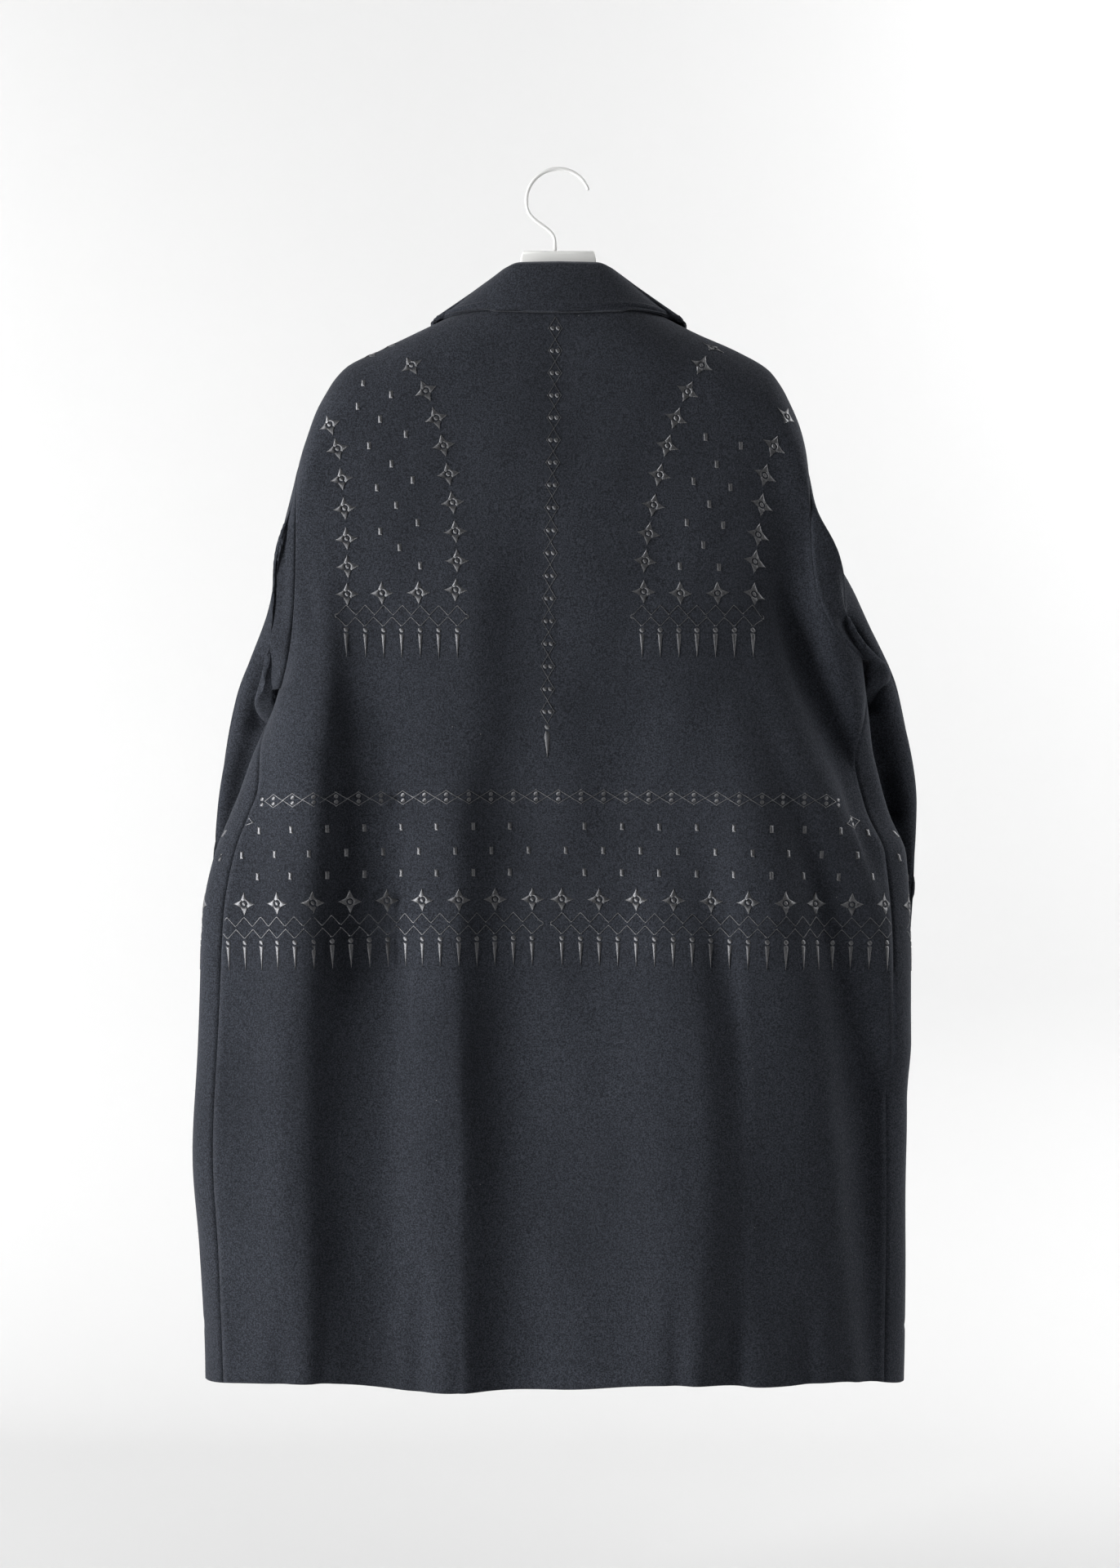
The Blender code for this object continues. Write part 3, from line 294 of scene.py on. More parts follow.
# Creases, soft hollows and the hem's ripples, which the cloth has over the solids' main folds
BACK_CREASES = table(Fold, (
    (0.3, 1.3, 0.3, 0.302, 0.304, 0.008, 0.03, 0.052),
    (0.34, 1.3, 0.243, 0.241, 0.24, 0.004, 0.03, 0.018),
    (0.34, 1.3, 0.168, 0.156, 0.15, -0.0105, 0.036, 0.03),
    (0.34, 1.3, 0.128, 0.114, 0.104, -0.011, 0.055, 0.05),
    (0.3, 1.3, 0.04, 0.04, 0.04, -0.0085, 0.05, 0.05),
    (0.3, 1.3, -0.05, -0.05, -0.05, -0.005, 0.05, 0.04),
    (0.3, 1.3, -0.105, -0.105, -0.1, 0.0055, 0.045, 0.04),
    (0.4, 1.3, -0.158, -0.168, -0.166, 0.0175, 0.034, 0.056),
    (0.62, 1.3, -0.262, -0.264, -0.264, -0.0065, 0.036, 0.02),
    (0.45, 1.3, -0.3, -0.303, -0.305, 0.008, 0.022, 0.02),
    (0.36, 0.76, 0.217, 0.209, 0.206, 0.0075, 0.03, 0.02),
    (0.33, 0.6, -0.18, -0.232, -0.286, -0.012, 0.024, 0.016),
    (0.43, 0.82, -0.2, -0.262, -0.296, 0.015, 0.04, 0.018),
    (0.33, 0.52, 0.206, 0.2, 0.196, 0.003, 0.01, 0.012),
    (0.93, 1.3, 0.236, 0.238, 0.24, -0.003, 0.008, 0.01),
    (0.94, 1.3, 0.2, 0.204, 0.206, -0.0035, 0.009, 0.009),
    (0.9, 1.3, 0.122, 0.125, 0.127, -0.003, 0.009, 0.012),
    (0.96, 1.3, 0.086, 0.086, 0.086, -0.002, 0.007, 0.008),
    (0.92, 1.3, -0.1, -0.102, -0.104, -0.003, 0.008, 0.01),
    (0.94, 1.3, -0.148, -0.152, -0.156, -0.003, 0.01, 0.01),
    (0.94, 1.3, -0.214, -0.217, -0.22, -0.003, 0.01, 0.008),
))
FRONT_CREASES = table(Fold, (
    (0.9, 1.3, 0.13, 0.132, 0.134, -0.0025, 0.009, 0.01),
    (0.93, 1.3, 0.205, 0.206, 0.208, -0.0025, 0.009, 0.009),
    (0.91, 1.3, -0.118, -0.12, -0.122, -0.0025, 0.009, 0.01),
    (0.93, 1.3, -0.2, -0.202, -0.204, -0.0025, 0.009, 0.009),
))
# On the sleeves' back: the hollows beside the armhole, under the arm and along the body
LEFT_SLEEVE_CREASES = table(Fold, (
    (0.2, 0.42, 0.214, 0.23, 0.25, -0.005, 0.024, 0.018),
    (0.41, 0.5, 0.254, 0.259, 0.264, -0.006, 0.015, 0.015),
    (0.44, 0.66, 0.254, 0.283, 0.314, -0.008, 0.014, 0.022),
))
RIGHT_SLEEVE_CREASES = table(Fold, (
    (0.385, 0.45, -0.243, -0.264, -0.288, -0.009, 0.009, 0.008),
    (0.425, 0.48, -0.276, -0.2765, -0.277, -0.01, 0.007, 0.008),
    (0.43, 0.66, -0.268, -0.289, -0.312, -0.011, 0.014, 0.012),
    (0.515, 0.575, -0.29, -0.296, -0.302, -0.008, 0.007, 0.007),
))
CREASE_CLEAR_OF_SEAM = 0.012

# The tables of the left side (1) and of the right side (-1)
REACHES = {1: LEFT_REACH, -1: RIGHT_REACH}
SHOULDERS = {1: LEFT_SHOULDER, -1: RIGHT_SHOULDER}
FRONT_FOLDS = {1: LEFT_FRONT_FOLDS, -1: RIGHT_FRONT_FOLDS}
SLEEVE_CREASES = {1: LEFT_SLEEVE_CREASES, -1: RIGHT_SLEEVE_CREASES}
SLEEVE_EDGES = {
    (1, "outer"): LEFT_SLEEVE_OUTER, (1, "inner"): LEFT_SLEEVE_INNER,
    (-1, "outer"): RIGHT_SLEEVE_OUTER, (-1, "inner"): RIGHT_SLEEVE_INNER,
}

# The collar's edge, by the distance of its finer rows from it
COLLAR_EDGE_ROWS = (
    0.016, 0.012, 0.009, 0.0076, 0.0068, 0.0062, 0.0058, 0.0054, 0.0048, 0.0038, 0.0026, 0.0014, 0.0006, 0.0,
)
COLLAR_STITCHED_AT = 0.0058
COLLAR_STITCHED_WIDTH = 0.0011
COLLAR_FALL_FROM = 6
COLLAR_END_LEFT = 4
FRONT_TOP_LEFT = 3
FRONT_HEM_LEFT = 2
COLLAR_EDGE_WITHIN = 0.9
COLLAR_LONGER = 0.005
COLLAR_LONGER_WIDTH = 0.075
COLLAR_ROLL = 0.0011
COLLAR_ROLL_WIDTH = 0.0062
COLLAR_ROLL_RISES_OVER = 0.0022
COLLAR_PRESSED = 0.0006

# The relief of the cloth: where it is held by seams, and its dips and lines
UNEVEN_HEIGHT = 0.0007
Wave = namedtuple("Wave", "across down shift")
UNEVEN_WAVES = (
    (1.0, table(Wave, ((62.0, 9.0, 1.0), (-7.0, 19.0, 2.0)))),
    (0.45, table(Wave, ((118.0, -13.0, 3.0), (0.0, 41.0, 1.0)))),
    (0.8, table(Wave, ((34.0, 27.0, -1.0),))),
)
UNEVEN_SHIFTS = {"back": 0.4, "front_left": 1.7, "front_right": 2.9}
SLEEVE_UNEVEN_SCALE = 0.7
SLEEVE_RELIEF_FROM_SEAM = 0.05
CREASE_FACES_BACK = 0.6
RELIEF_LEVEL_FROM = 0.2
RELIEF_LEVEL_OVER = 0.1
SEAM_DIP = 0.0004
SEAM_DIP_WIDTH = 0.0034
SEAM_HOLDS_OVER = 0.022
SIDE_SEAM_FLATTER = 0.85
SEAM_FREE_OVER = 0.06
SEAM_SHARES_OVER = 0.07
HEM_ALLOWANCE = 0.049
HEM_LINE_DIP = 0.0005
HEM_LINE_WIDTH = 0.003
EDGE_ROUND = 0.0009


def smooth_step(value):
    part = np.clip(value, 0.0, 1.0)
    return part * part * (3.0 - 2.0 * part)


def smooth_curve(keys, values, at):
    """Read a table with a cubic that passes through its rows and never overshoots them."""
    keys = np.asarray(keys, dtype=float)
    values = np.asarray(values, dtype=float)
    steps = np.diff(keys)
    rises = np.diff(values) / steps
    slopes = np.concatenate(([rises[0]], np.zeros(len(rises) - 1), [rises[-1]]))
    product = rises[:-1] * rises[1:]
    total = np.where(product > 0.0, rises[:-1] + rises[1:], 1.0)
    slopes[1:-1] = np.where(product > 0.0, 2.0 * product / total, 0.0)
    at = np.clip(at, keys[0], keys[-1])
    row = np.clip(np.searchsorted(keys, at, side="right") - 1, 0, len(steps) - 1)
    step = steps[row]
    part = (at - keys[row]) / step
    rest = 1.0 - part
    return (
        values[row] * (1.0 + 2.0 * part) * rest * rest
        + slopes[row] * step * part * rest * rest
        + values[row + 1] * part * part * (3.0 - 2.0 * part)
        - slopes[row + 1] * step * part * part * rest
    )


def column(table, name):
    return [getattr(row, name) for row in table]


def read(table, name, at, key="drop"):
    """A value of a table, read between its rows."""
    return smooth_curve(column(table, key), column(table, name), at)


def unit(vectors, least=1e-9):
    return vectors / np.maximum(np.linalg.norm(vectors, axis=-1, keepdims=True), least)


def reach(side, drop):
    """How far the body reaches from the centre line, below the underarm."""
    return read(REACHES[side.sign], "across", drop)


def rounding_reach(side, drop):
    """The reach that sets a panel's roundness: above the underarm the sleeve carries it on."""
    above = smooth_step((side.underarm_drop - drop) / ARMHOLE_SETTLES_OVER)
    return reach(side, drop) + (side.top_reach - reach(side, drop)) * above


def ridge_drop(side, distance):
    """Drop of the shoulder line, carried on level over the open neck."""
    line = read(SHOULDERS[side.sign], "drop", distance, "across")
    inside = np.clip(1.0 - (distance / NECK_HALF_WIDTH) ** 2, 0.0, 1.0)
    return line - NECK_RIDGE_RISE * inside


def panel_depth(side, across, drop, face):
    """Distance of the plain panel from the hanger's plane, without its folds."""
    distance = np.abs(across)
    part = np.clip(distance / rounding_reach(side, drop), 0.0, 1.0)
    bulge = (1.0 - part ** SIDE_ROUNDNESS) ** (1.0 / SIDE_ROUNDNESS)
    below = np.clip((drop - ridge_drop(side, distance)) / SHOULDER_ROUND, 0.0, 1.0)
    rounding = np.sqrt(np.clip(1.0 - (1.0 - below) ** 2, 0.0, 1.0))
    return read(DEPTHS, face, drop) * bulge * rounding


def under_layer(side, across, drop):
    """How far the left front is set back where the right front lies over it."""
    if side is RIGHT:
        return np.zeros_like(across)
    near_edge = smooth_step((LAYER_FULL + LAYER_FADE - np.abs(across)) / LAYER_FADE)
    return LAYER_STEP * near_edge * smooth_step((drop - LAYER_TOP) / LAYER_TOP_FADE)


def panel_folds(side, face):
    return BACK_FOLDS if face == "back" else FRONT_FOLDS[side.sign]


def fold_height(folds, across, drop):
    """Sum of the folds at a place on a panel."""
    total = np.zeros_like(across)
    for fold in folds:
        length = fold.bottom - fold.top
        keys = (fold.top, fold.top + length * 0.5, fold.bottom)
        crest = smooth_curve(keys, (fold.across_top, fold.across_middle, fold.across_bottom), drop)
        offset = across - crest
        width = np.where(offset > 0.0, fold.to_left, fold.to_right)
        grows = smooth_step((drop - fold.top) / (length * FOLD_GROWS_OVER))
        fades = smooth_step((fold.bottom - drop) / (length * FOLD_FADES_OVER))
        total += fold.height * grows * fades * np.exp(-(offset / width) ** 2)
    return total


def girth_table():
    """Length round a plain section from the centre back, against the angle round it."""
    angles = np.linspace(0.0, GIRTH_TURN, GIRTH_STEPS)
    power = 2.0 / SIDE_ROUNDNESS
    across = GIRTH_ACROSS * np.sign(np.sin(angles)) * np.abs(np.sin(angles)) ** power
    depth = GIRTH_DEPTH * np.sign(np.cos(angles)) * np.abs(np.cos(angles)) ** power
    lengths = np.concatenate(([0.0], np.cumsum(np.hypot(np.diff(across), np.diff(depth)))))
    return angles, lengths


GIRTH_ANGLES, GIRTH_LENGTHS = girth_table()


def angle_between(start, end, part):
    """The angle that lies a part of the way round, by length."""
    first = np.interp(start, GIRTH_ANGLES, GIRTH_LENGTHS)
    last = np.interp(end, GIRTH_ANGLES, GIRTH_LENGTHS)
    return np.interp(first + (last - first) * part, GIRTH_LENGTHS, GIRTH_ANGLES)


def side_seam_angle(side, drop):
    """The side seam starts at the underarm and settles behind the side's edge, towards the back."""
    settled = smooth_step((drop - side.underarm_drop) / SEAM_SETTLES_OVER)
    return math.pi / 2.0 - SEAM_BEHIND_EDGE * settled


def section_place(side, angle, drop):
    """Across and depth of the plain section at an angle from the centre back."""
    power = 2.0 / SIDE_ROUNDNESS
    across = side.sign * reach(side, drop) * np.sign(np.sin(angle)) * np.abs(np.sin(angle)) ** power
    turn = np.cos(angle)
    depth = np.where(turn >= 0.0, read(DEPTHS, "back", drop), read(DEPTHS, "front", drop))
    depth = depth * np.sign(turn) * np.abs(turn) ** power
    return across, depth


def underarm_level(across):
    """Drop of the line from one underarm to the other, which the coat's lean tilts."""
    ends = (-reach(RIGHT, RIGHT.underarm_drop), reach(LEFT, LEFT.underarm_drop))
    return np.interp(across, ends, (RIGHT.underarm_drop, LEFT.underarm_drop))


def hem_level(across):
    return read(HEM_LINE, "drop", across, "across")


def armhole_reach(side, part):
    """The armhole runs straight down from the shoulder and curves out at the underarm."""
    underarm = reach(side, side.underarm_drop)
    return side.shoulder_across + (underarm - side.shoulder_across) * part ** ARMHOLE_CURVE


def armhole_edge(side, part, face):
    """A point of the armhole, from the shoulder (0) to the underarm (1)."""
    part = np.asarray(part, dtype=float)
    distance = armhole_reach(side, part)
    drop = side.shoulder_drop + (side.underarm_drop - side.shoulder_drop) * part
    depth = panel_depth(side, distance, drop, face)
    depth = np.where((part <= 0.0) | (part >= 1.0), 0.0, depth)
    return side.sign * distance, depth if face == "back" else -depth, drop


def shoulder_edge(side):
    """The shoulder seam from the armhole to the side of the neck, in even steps."""
    across = np.linspace(NECK_HALF_WIDTH, side.shoulder_across, SHOULDER_SAMPLES)
    drops = ridge_drop(side, across)
    lengths = np.concatenate(([0.0], np.cumsum(np.hypot(np.diff(across), np.diff(drops)))))
    stops = np.linspace(lengths[-1], 0.0, SHOULDER_COLUMNS + 1)
    stopped = np.interp(stops, lengths, across)
    return stopped, ridge_drop(side, stopped)


def neck_edge(turns):
    return read(COLLAR, "neck_across", turns, "turn"), read(COLLAR, "neck_drop", turns, "turn")


def panel_half(side, face, top_across, top_drop, end_angle):
    """Half of the back, or one front, as a grid of rows from its top edge to the hem.

    The first column is the armhole and side seam. The last one is the centre back, or the front's
    own edge.
    """
    steps = np.hypot(np.diff(top_across), np.diff(top_drop))
    part = np.concatenate(([0.0], np.cumsum(steps))) / np.sum(steps)
    folds = panel_folds(side, face)
    facing = 1.0 if face == "back" else -1.0
    edge_fade = smooth_step(part / FOLD_EDGE_FADE)
    rows = []

    under_angle = angle_between(math.pi / 2.0, end_angle, part)
    under_across = section_place(side, under_angle, side.underarm_drop)[0]
    under_drop = underarm_level(under_across)
    top_ratio = side.sign * top_across / side.shoulder_across
    under_ratio = under_across / reach(side, side.underarm_drop)
    for share in ARMHOLE_ROWS:
        edge_depth = armhole_edge(side, share, face)[1]
        drop = top_drop * (1.0 - share) + under_drop * share
        down_armhole = (drop - side.shoulder_drop) / (side.underarm_drop - side.shoulder_drop)
        down_armhole = np.maximum(np.clip(down_armhole, 0.0, 1.0), share ** ARMHOLE_CURVE)
        across = (top_ratio * (1.0 - share) + under_ratio * share) * armhole_reach(side, down_armhole)
        depth = panel_depth(side, across, drop, face)
        below_shoulder = min(share / FOLD_SHOULDER_FADE, 1.0)
        depth = depth + fold_height(folds, across, drop) * edge_fade * below_shoulder
        if face == "front":
            depth = depth - under_layer(side, across, drop)
        depth = depth * facing
        depth[0] = edge_depth
        if share == 0.0:
            depth[: SHOULDER_COLUMNS + 1] = 0.0
        rows.append(np.stack((across, depth, -drop), axis=1))

    hem_angle = angle_between(math.pi / 2.0 - SEAM_BEHIND_EDGE, end_angle, part)
    hem_drop = hem_level(section_place(side, hem_angle, HEM_DROP)[0])
    for share in BODY_ROWS:
        drop = under_drop * (1.0 - share) + hem_drop * share
        angle = angle_between(side_seam_angle(side, drop), end_angle, part)
        across, depth = section_place(side, angle, drop)
        depth = depth + facing * fold_height(folds, across, drop) * edge_fade
        if face == "front":
            depth = depth + under_layer(side, across, drop) * (angle > math.pi / 2.0)
        rows.append(np.stack((across, depth, -drop), axis=1))
    return np.array(rows)


def back_panel():
    halves = []
    for side in (LEFT, RIGHT):
        shoulder_across, shoulder_drop = shoulder_edge(side)
        neck_across, neck_drop = neck_edge(np.array(BACK_TURNS[-2::-1]))
        top_across = np.concatenate((shoulder_across, neck_across))
        top_drop = np.concatenate((shoulder_drop, neck_drop))
        halves.append(panel_half(side, "back", top_across, top_drop, 0.0))
    left, right = halves
    middle = (left[:, -1:] + right[:, -1:]) / 2.0
    return np.concatenate((left[:, :-1], middle, right[:, -2::-1]), axis=1)


def front_panel(side):
    shoulder_across, shoulder_drop = shoulder_edge(side)
    neck_across, neck_drop = neck_edge(np.array(FRONT_TURNS[1:]))
    overlap = np.linspace(neck_across[-1], -FRONT_EDGE_ACROSS, OVERLAP_COLUMNS + 1)[1:]
    overlap_drop = np.full(OVERLAP_COLUMNS, FRONT_EDGE_DROP)
    top_across = np.concatenate((shoulder_across, neck_across, overlap))
    top_drop = np.concatenate((shoulder_drop, neck_drop, overlap_drop))
    power = SIDE_ROUNDNESS / 2.0
    beyond_centre = math.asin((FRONT_EDGE_ACROSS / reach(side, MID_BODY_DROP)) ** power)
    return panel_half(side, "front", top_across, top_drop, math.pi + beyond_centre)


def sleeve_edge_line(side, edge, along):
    """A point on the sleeve's outer or inner edge."""
    edges = SLEEVE_EDGES[side.sign, edge]
    across, forward, drop = (read(edges, name, along, "along") for name in ("across", "forward", "drop"))
    return np.array((side.sign * across, -forward, -drop))


def flat_ring(side, along, around, facing):
    """The flattened sleeve below the upper arm, as an oval between its two edges."""
    outer = sleeve_edge_line(side, "outer", along)
    inner = sleeve_edge_line(side, "inner", along)
    later = min(along + SLEEVE_SLOPE_STEP, 1.0)
    ahead = sleeve_edge_line(side, "outer", later) + sleeve_edge_line(side, "inner", later)
    sooner = later - SLEEVE_SLOPE_STEP
    behind = sleeve_edge_line(side, "outer", sooner) + sleeve_edge_line(side, "inner", sooner)
    through = np.cross(inner - outer, ahead - behind)
    through = unit(through)
    through = through * np.sign(through[1])
    part = (along - SLEEVE_FLATTENS_AT) / (1.0 - SLEEVE_FLATTENS_AT)
    half_depth = SLEEVE_HALF_DEPTH_AT_ARM + (SLEEVE_HALF_DEPTH_AT_CUFF - SLEEVE_HALF_DEPTH_AT_ARM) * part
    oval = np.outer(facing * 2.0 * np.sqrt(around * (1.0 - around)) * half_depth, through)
    return outer + np.outer(around, inner - outer) + oval


def sleeve(side):
    """The sleeve as rings from the armhole to the cuff, each round its two long edges.

    Above the upper arm each line of the sleeve leaves the armhole sideways and bends down to the
    flattened part.
    """
    shares = np.array(ARMHOLE_ROWS)
    around = np.concatenate((shares, shares[-2:0:-1]))
    facing = np.concatenate((np.ones(len(shares)), -np.ones(len(shares) - 2)))
    armhole = []
    for share, face in zip(around, facing):
        across, depth, drop = armhole_edge(side, share, "back" if face > 0.0 else "front")
        armhole.append((float(across), float(depth), -float(drop)))
    armhole = np.array(armhole)

    length = SLEEVE_FLATTENS_AT
    arm_ring = flat_ring(side, length, around, facing)
    step = SLEEVE_WAY_STEP
    arm_way = (flat_ring(side, length + step, around, facing) - arm_ring) / step * length
    outer_step = sleeve_edge_line(side, "outer", step) - sleeve_edge_line(side, "outer", 0.0)
    outer_way = outer_step / step * length
    sideways = side.leaves_top + (side.leaves_underarm - side.leaves_top) * around
    free_way = np.stack((
        side.sign * sideways,
        -SLEEVE_LEAVES_FORWARD * around ** 3,
        np.full(len(around), -SLEEVE_LEAVES_DOWN),
    ), axis=1)
    share_free = smooth_step(around / SLEEVE_TOP_SHARE)[:, None]
    start_way = outer_way * (1.0 - share_free) + free_way * share_free

    rings = [armhole]
    for along in SLEEVE_ROWS[1:]:
        if along < length:
            part = along / length
            rest = 1.0 - part
            ring = armhole * (1.0 + 2.0 * part) * rest ** 2 + start_way * part * rest ** 2
            ring = ring + arm_ring * part ** 2 * (3.0 - 2.0 * part) - arm_way * part ** 2 * rest
            off_outline = sleeve_edge_line(side, "outer", along) - ring[0]
            ring = ring + np.outer((1.0 - around) ** 3, off_outline)
        else:
            ring = flat_ring(side, along, around, facing)
        under = smooth_step((around - SLEEVE_UNDER_FROM) / SLEEVE_UNDER_OVER)
        settled = np.maximum(smooth_step(along / SLEEVE_CLEARS_OVER), under)
        rings.append(clear_of_body(side, ring, CLEAR_OF_CLOTH * settled))
    return np.array(rings)


def clear_of_body(side, points, clearance):
    """Move points of the sleeve out of the body's side and front, so that it lies just off them."""
    drop = -points[:, 2]
    folds = panel_folds(side, "front")
    part = np.clip((drop - side.shoulder_drop) / (side.underarm_drop - side.shoulder_drop), 0.0, 1.0)
    wide = np.where(part < 1.0, armhole_reach(side, part), reach(side, drop)) + clearance
    deep = read(DEPTHS, "front", drop) + clearance
    centre = np.array((side.sign * PUSH_CENTRE_ACROSS, PUSH_CENTRE_BACK))
    way = points[:, :2] - centre
    moved = points.copy()
    stretch = np.ones(len(points))
    for _ in range(PUSH_STEPS):
        place = centre + way * stretch[:, None]
        fold = np.maximum(fold_height(folds, place[:, 0], drop), 0.0)
        size = (np.abs(place[:, 0]) / wide) ** SIDE_ROUNDNESS
        size = size + (np.abs(place[:, 1]) / (deep + fold)) ** SIDE_ROUNDNESS
        stretch = np.where(size < 1.0, stretch * PUSH_GROWTH, stretch)
    moved[:, :2] = centre + way * stretch[:, None]
    return moved


def collar():
    """The collar's under side, from the neck seam up over the roll and down to its outer edge."""
    turns = np.array([-turn for turn in FRONT_TURNS[:0:-1]] + [-turn for turn in BACK_TURNS[:0:-1]])
    turns = np.concatenate((turns, [0.0], -turns[::-1]))
    stations = []
    for turn in turns:
        side = LEFT if turn <= 0.0 else RIGHT
        size = abs(turn)
        face = "back" if size < 1.0 else "front"
        facing = 1.0 if face == "back" else -1.0
        value = {name: float(read(COLLAR, name, size, "turn")) for name in CollarStation._fields}
        neck_depth = panel_depth(side, value["neck_across"], value["neck_drop"], face)
        if face == "front":
            layer = under_layer(side, np.array(value["neck_across"]), value["neck_drop"])
            neck_depth = neck_depth - layer
        if size == 1.0:
            neck_depth = 0.0
        neck = np.array((value["neck_across"], facing * neck_depth, -value["neck_drop"]))
        roll = np.array((value["roll_across"], value["roll_back"], -value["roll_drop"]))
        edge_depth = panel_depth(side, value["edge_across"], value["edge_drop"], face) + COLLAR_CLEARANCE
        if size == 1.0:
            edge_depth = 0.0
        edge = np.array((value["edge_across"], facing * edge_depth, -value["edge_drop"]))
        outward = unit((edge - roll) * (1.0, 1.0, 0.0))
        up = np.array((0.0, 0.0, 1.0))
        radius = COLLAR_FOLD_RADIUS
        path = [
            neck,
            neck * 0.5 + (roll - outward * radius) * 0.5,
            roll - outward * radius,
            roll + up * radius * COLLAR_FOLD_RISE,
            roll + outward * radius,
        ]
        for part in COLLAR_FALL_STOPS:
            point = (roll + outward * radius) * (1.0 - part) + edge * part
            path.append(lift_off_panel(side, point, facing))
        stations.append([point * np.array((side.sign, 1.0, 1.0)) for point in path])
    return np.array(stations)


def lift_off_panel(side, point, facing):
    """Move a point of the collar out, where it would lie too close to the panel under it."""
    face = "back" if facing > 0.0 else "front"
    drop = -point[2]
    ridge = float(ridge_drop(side, point[0]))
    below_round = max(drop, ridge + SHOULDER_ROUND)
    full_depth = float(panel_depth(side, point[0], below_round, face))
    part = min(abs(point[1]) / full_depth, 1.0)
    lifted = point.copy()
    if part < COLLAR_LIES_ON_TOP:
        surface = ridge + SHOULDER_ROUND * (1.0 - math.sqrt(1.0 - part * part))
        lifted[2] = max(point[2], COLLAR_CLEARANCE - surface)
    elif drop > ridge:
        depth = float(panel_depth(side, point[0], drop, face))
        lifted[1] = facing * max(abs(point[1]), depth + COLLAR_CLEARANCE)
    return lifted


def grid_quads(rows, columns, closed=False):
    """The quads of a grid as point numbers. A closed grid's last column joins its first."""
    numbers = np.arange(rows * columns).reshape(rows, columns)
    if closed:
        numbers = np.concatenate((numbers, numbers[:, :1]), axis=1)
    return np.stack((numbers[:-1, :-1], numbers[1:, :-1], numbers[1:, 1:], numbers[:-1, 1:]), axis=-1)


def crossed_diagonals(grid, closed):
    """The cross product of each quad's diagonals: its direction, and twice its area."""
    work = np.concatenate((grid, grid[:, :1]), axis=1) if closed else grid
    return np.cross(work[1:, 1:] - work[:-1, :-1], work[:-1, 1:] - work[1:, :-1])


def grid_normals(grid, closed):
    """Unit normals at the points of a grid, from the quads round each."""
    quads = crossed_diagonals(grid, closed)
    rows, columns = quads.shape[:2]
    sums = np.zeros((rows + 1, columns + 1, 3))
    for down, along in ((0, 0), (1, 0), (1, 1), (0, 1)):
        sums[down:down + rows, along:along + columns] += quads
    if closed:
        sums[:, 0] += sums[:, -1]
        sums = sums[:, :-1]
    return unit(sums, 1e-12)


def lengths_from(grid, axis):
    """Length along a grid's rows or columns, from its first line."""
    steps = np.linalg.norm(np.diff(grid, axis=axis), axis=-1)
    start = np.zeros_like(np.take(steps, [0], axis=axis))
    return np.concatenate((start, np.cumsum(steps, axis=axis)), axis=axis)


def lengths_along(line):
    """Length along a line of points, from its first one."""
    return np.concatenate(([0.0], np.cumsum(np.linalg.norm(np.diff(line, axis=0), axis=1))))


def dip(distance, width):
    return np.exp(-(distance / width) ** 2)


def unevenness(across, drop, shift):
    """Soft rises and hollows of felted cloth that has been worn and hung."""
    return UNEVEN_HEIGHT * sum(
        share * np.prod([
            np.sin(wave.across * across + wave.down * drop + wave.shift * shift) for wave in waves
        ], axis=0)
        for share, waves in UNEVEN_WAVES
    )


def panel_relief(grid, creases, both_sides, shift):
    """Height of a panel's small creases, seam dips and hem line over its main form."""
    across = grid[..., 0]
    drop = -grid[..., 2]
    along_row = lengths_from(grid, 1)
    down = lengths_from(grid, 0)
    height = fold_height(creases, across, drop) + unevenness(across, drop, shift)
    below_arm = smooth_step((drop - drop[len(ARMHOLE_ROWS)]) / SEAM_FREE_OVER)
    side_dip = 1.0 - SIDE_SEAM_FLATTER * below_arm
    seams = dip(along_row, SEAM_DIP_WIDTH) * side_dip + dip(down, SEAM_DIP_WIDTH)
    height = height * smooth_step(down / SEAM_HOLDS_OVER)
    held = smooth_step(along_row / SEAM_HOLDS_OVER)
    if both_sides:
        from_last = along_row[:, -1:] - along_row
        seams = seams + dip(from_last, SEAM_DIP_WIDTH) * side_dip
        held = held * smooth_step(from_last / SEAM_HOLDS_OVER)
        held = held + (1.0 - held) * below_arm
    height = height * held
    from_hem = down[-1:] - down
    hem = HEM_LINE_DIP * dip(from_hem - HEM_ALLOWANCE, HEM_LINE_WIDTH)
    return height - SEAM_DIP * np.minimum(seams, 1.0) - hem


def raised(grid, closed, flip, height):
    """A grid moved outwards by its relief. Below the shoulders points stay on their own level."""
    ways = grid_normals(grid, closed) * flip
    ways[..., 2] *= 1.0 - smooth_step((-grid[..., 2] - RELIEF_LEVEL_FROM) / RELIEF_LEVEL_OVER)
    return grid + unit(ways) * height[..., None]


def front_grid(side, name):
    """A front with its relief. Below the arm its side seam goes where the back's relief takes it."""
    plain = front_panel(side)
    relief = panel_relief(plain, FRONT_CREASES, False, UNEVEN_SHIFTS[name])
    grid = raised(plain, False, CUTS[name].flip, relief)
    back_plain = back_panel()
    border = 0 if back_plain[-1, 0, 0] * side.sign > 0.0 else -1
    moved = cloth_grid("back")[:, border] - back_plain[:, border]
    back_drop = -back_plain[:, border, 2]
    start = len(ARMHOLE_ROWS)
    shared = np.stack([np.interp(-plain[:, 0, 2], back_drop[start:], moved[start:, axis])
                       for axis in range(3)], axis=-1)
    shared[:start] = 0.0
    share = 1.0 - smooth_step(lengths_from(plain, 1) / SEAM_SHARES_OVER)
    return grid + shared[:, None] * share[..., None]


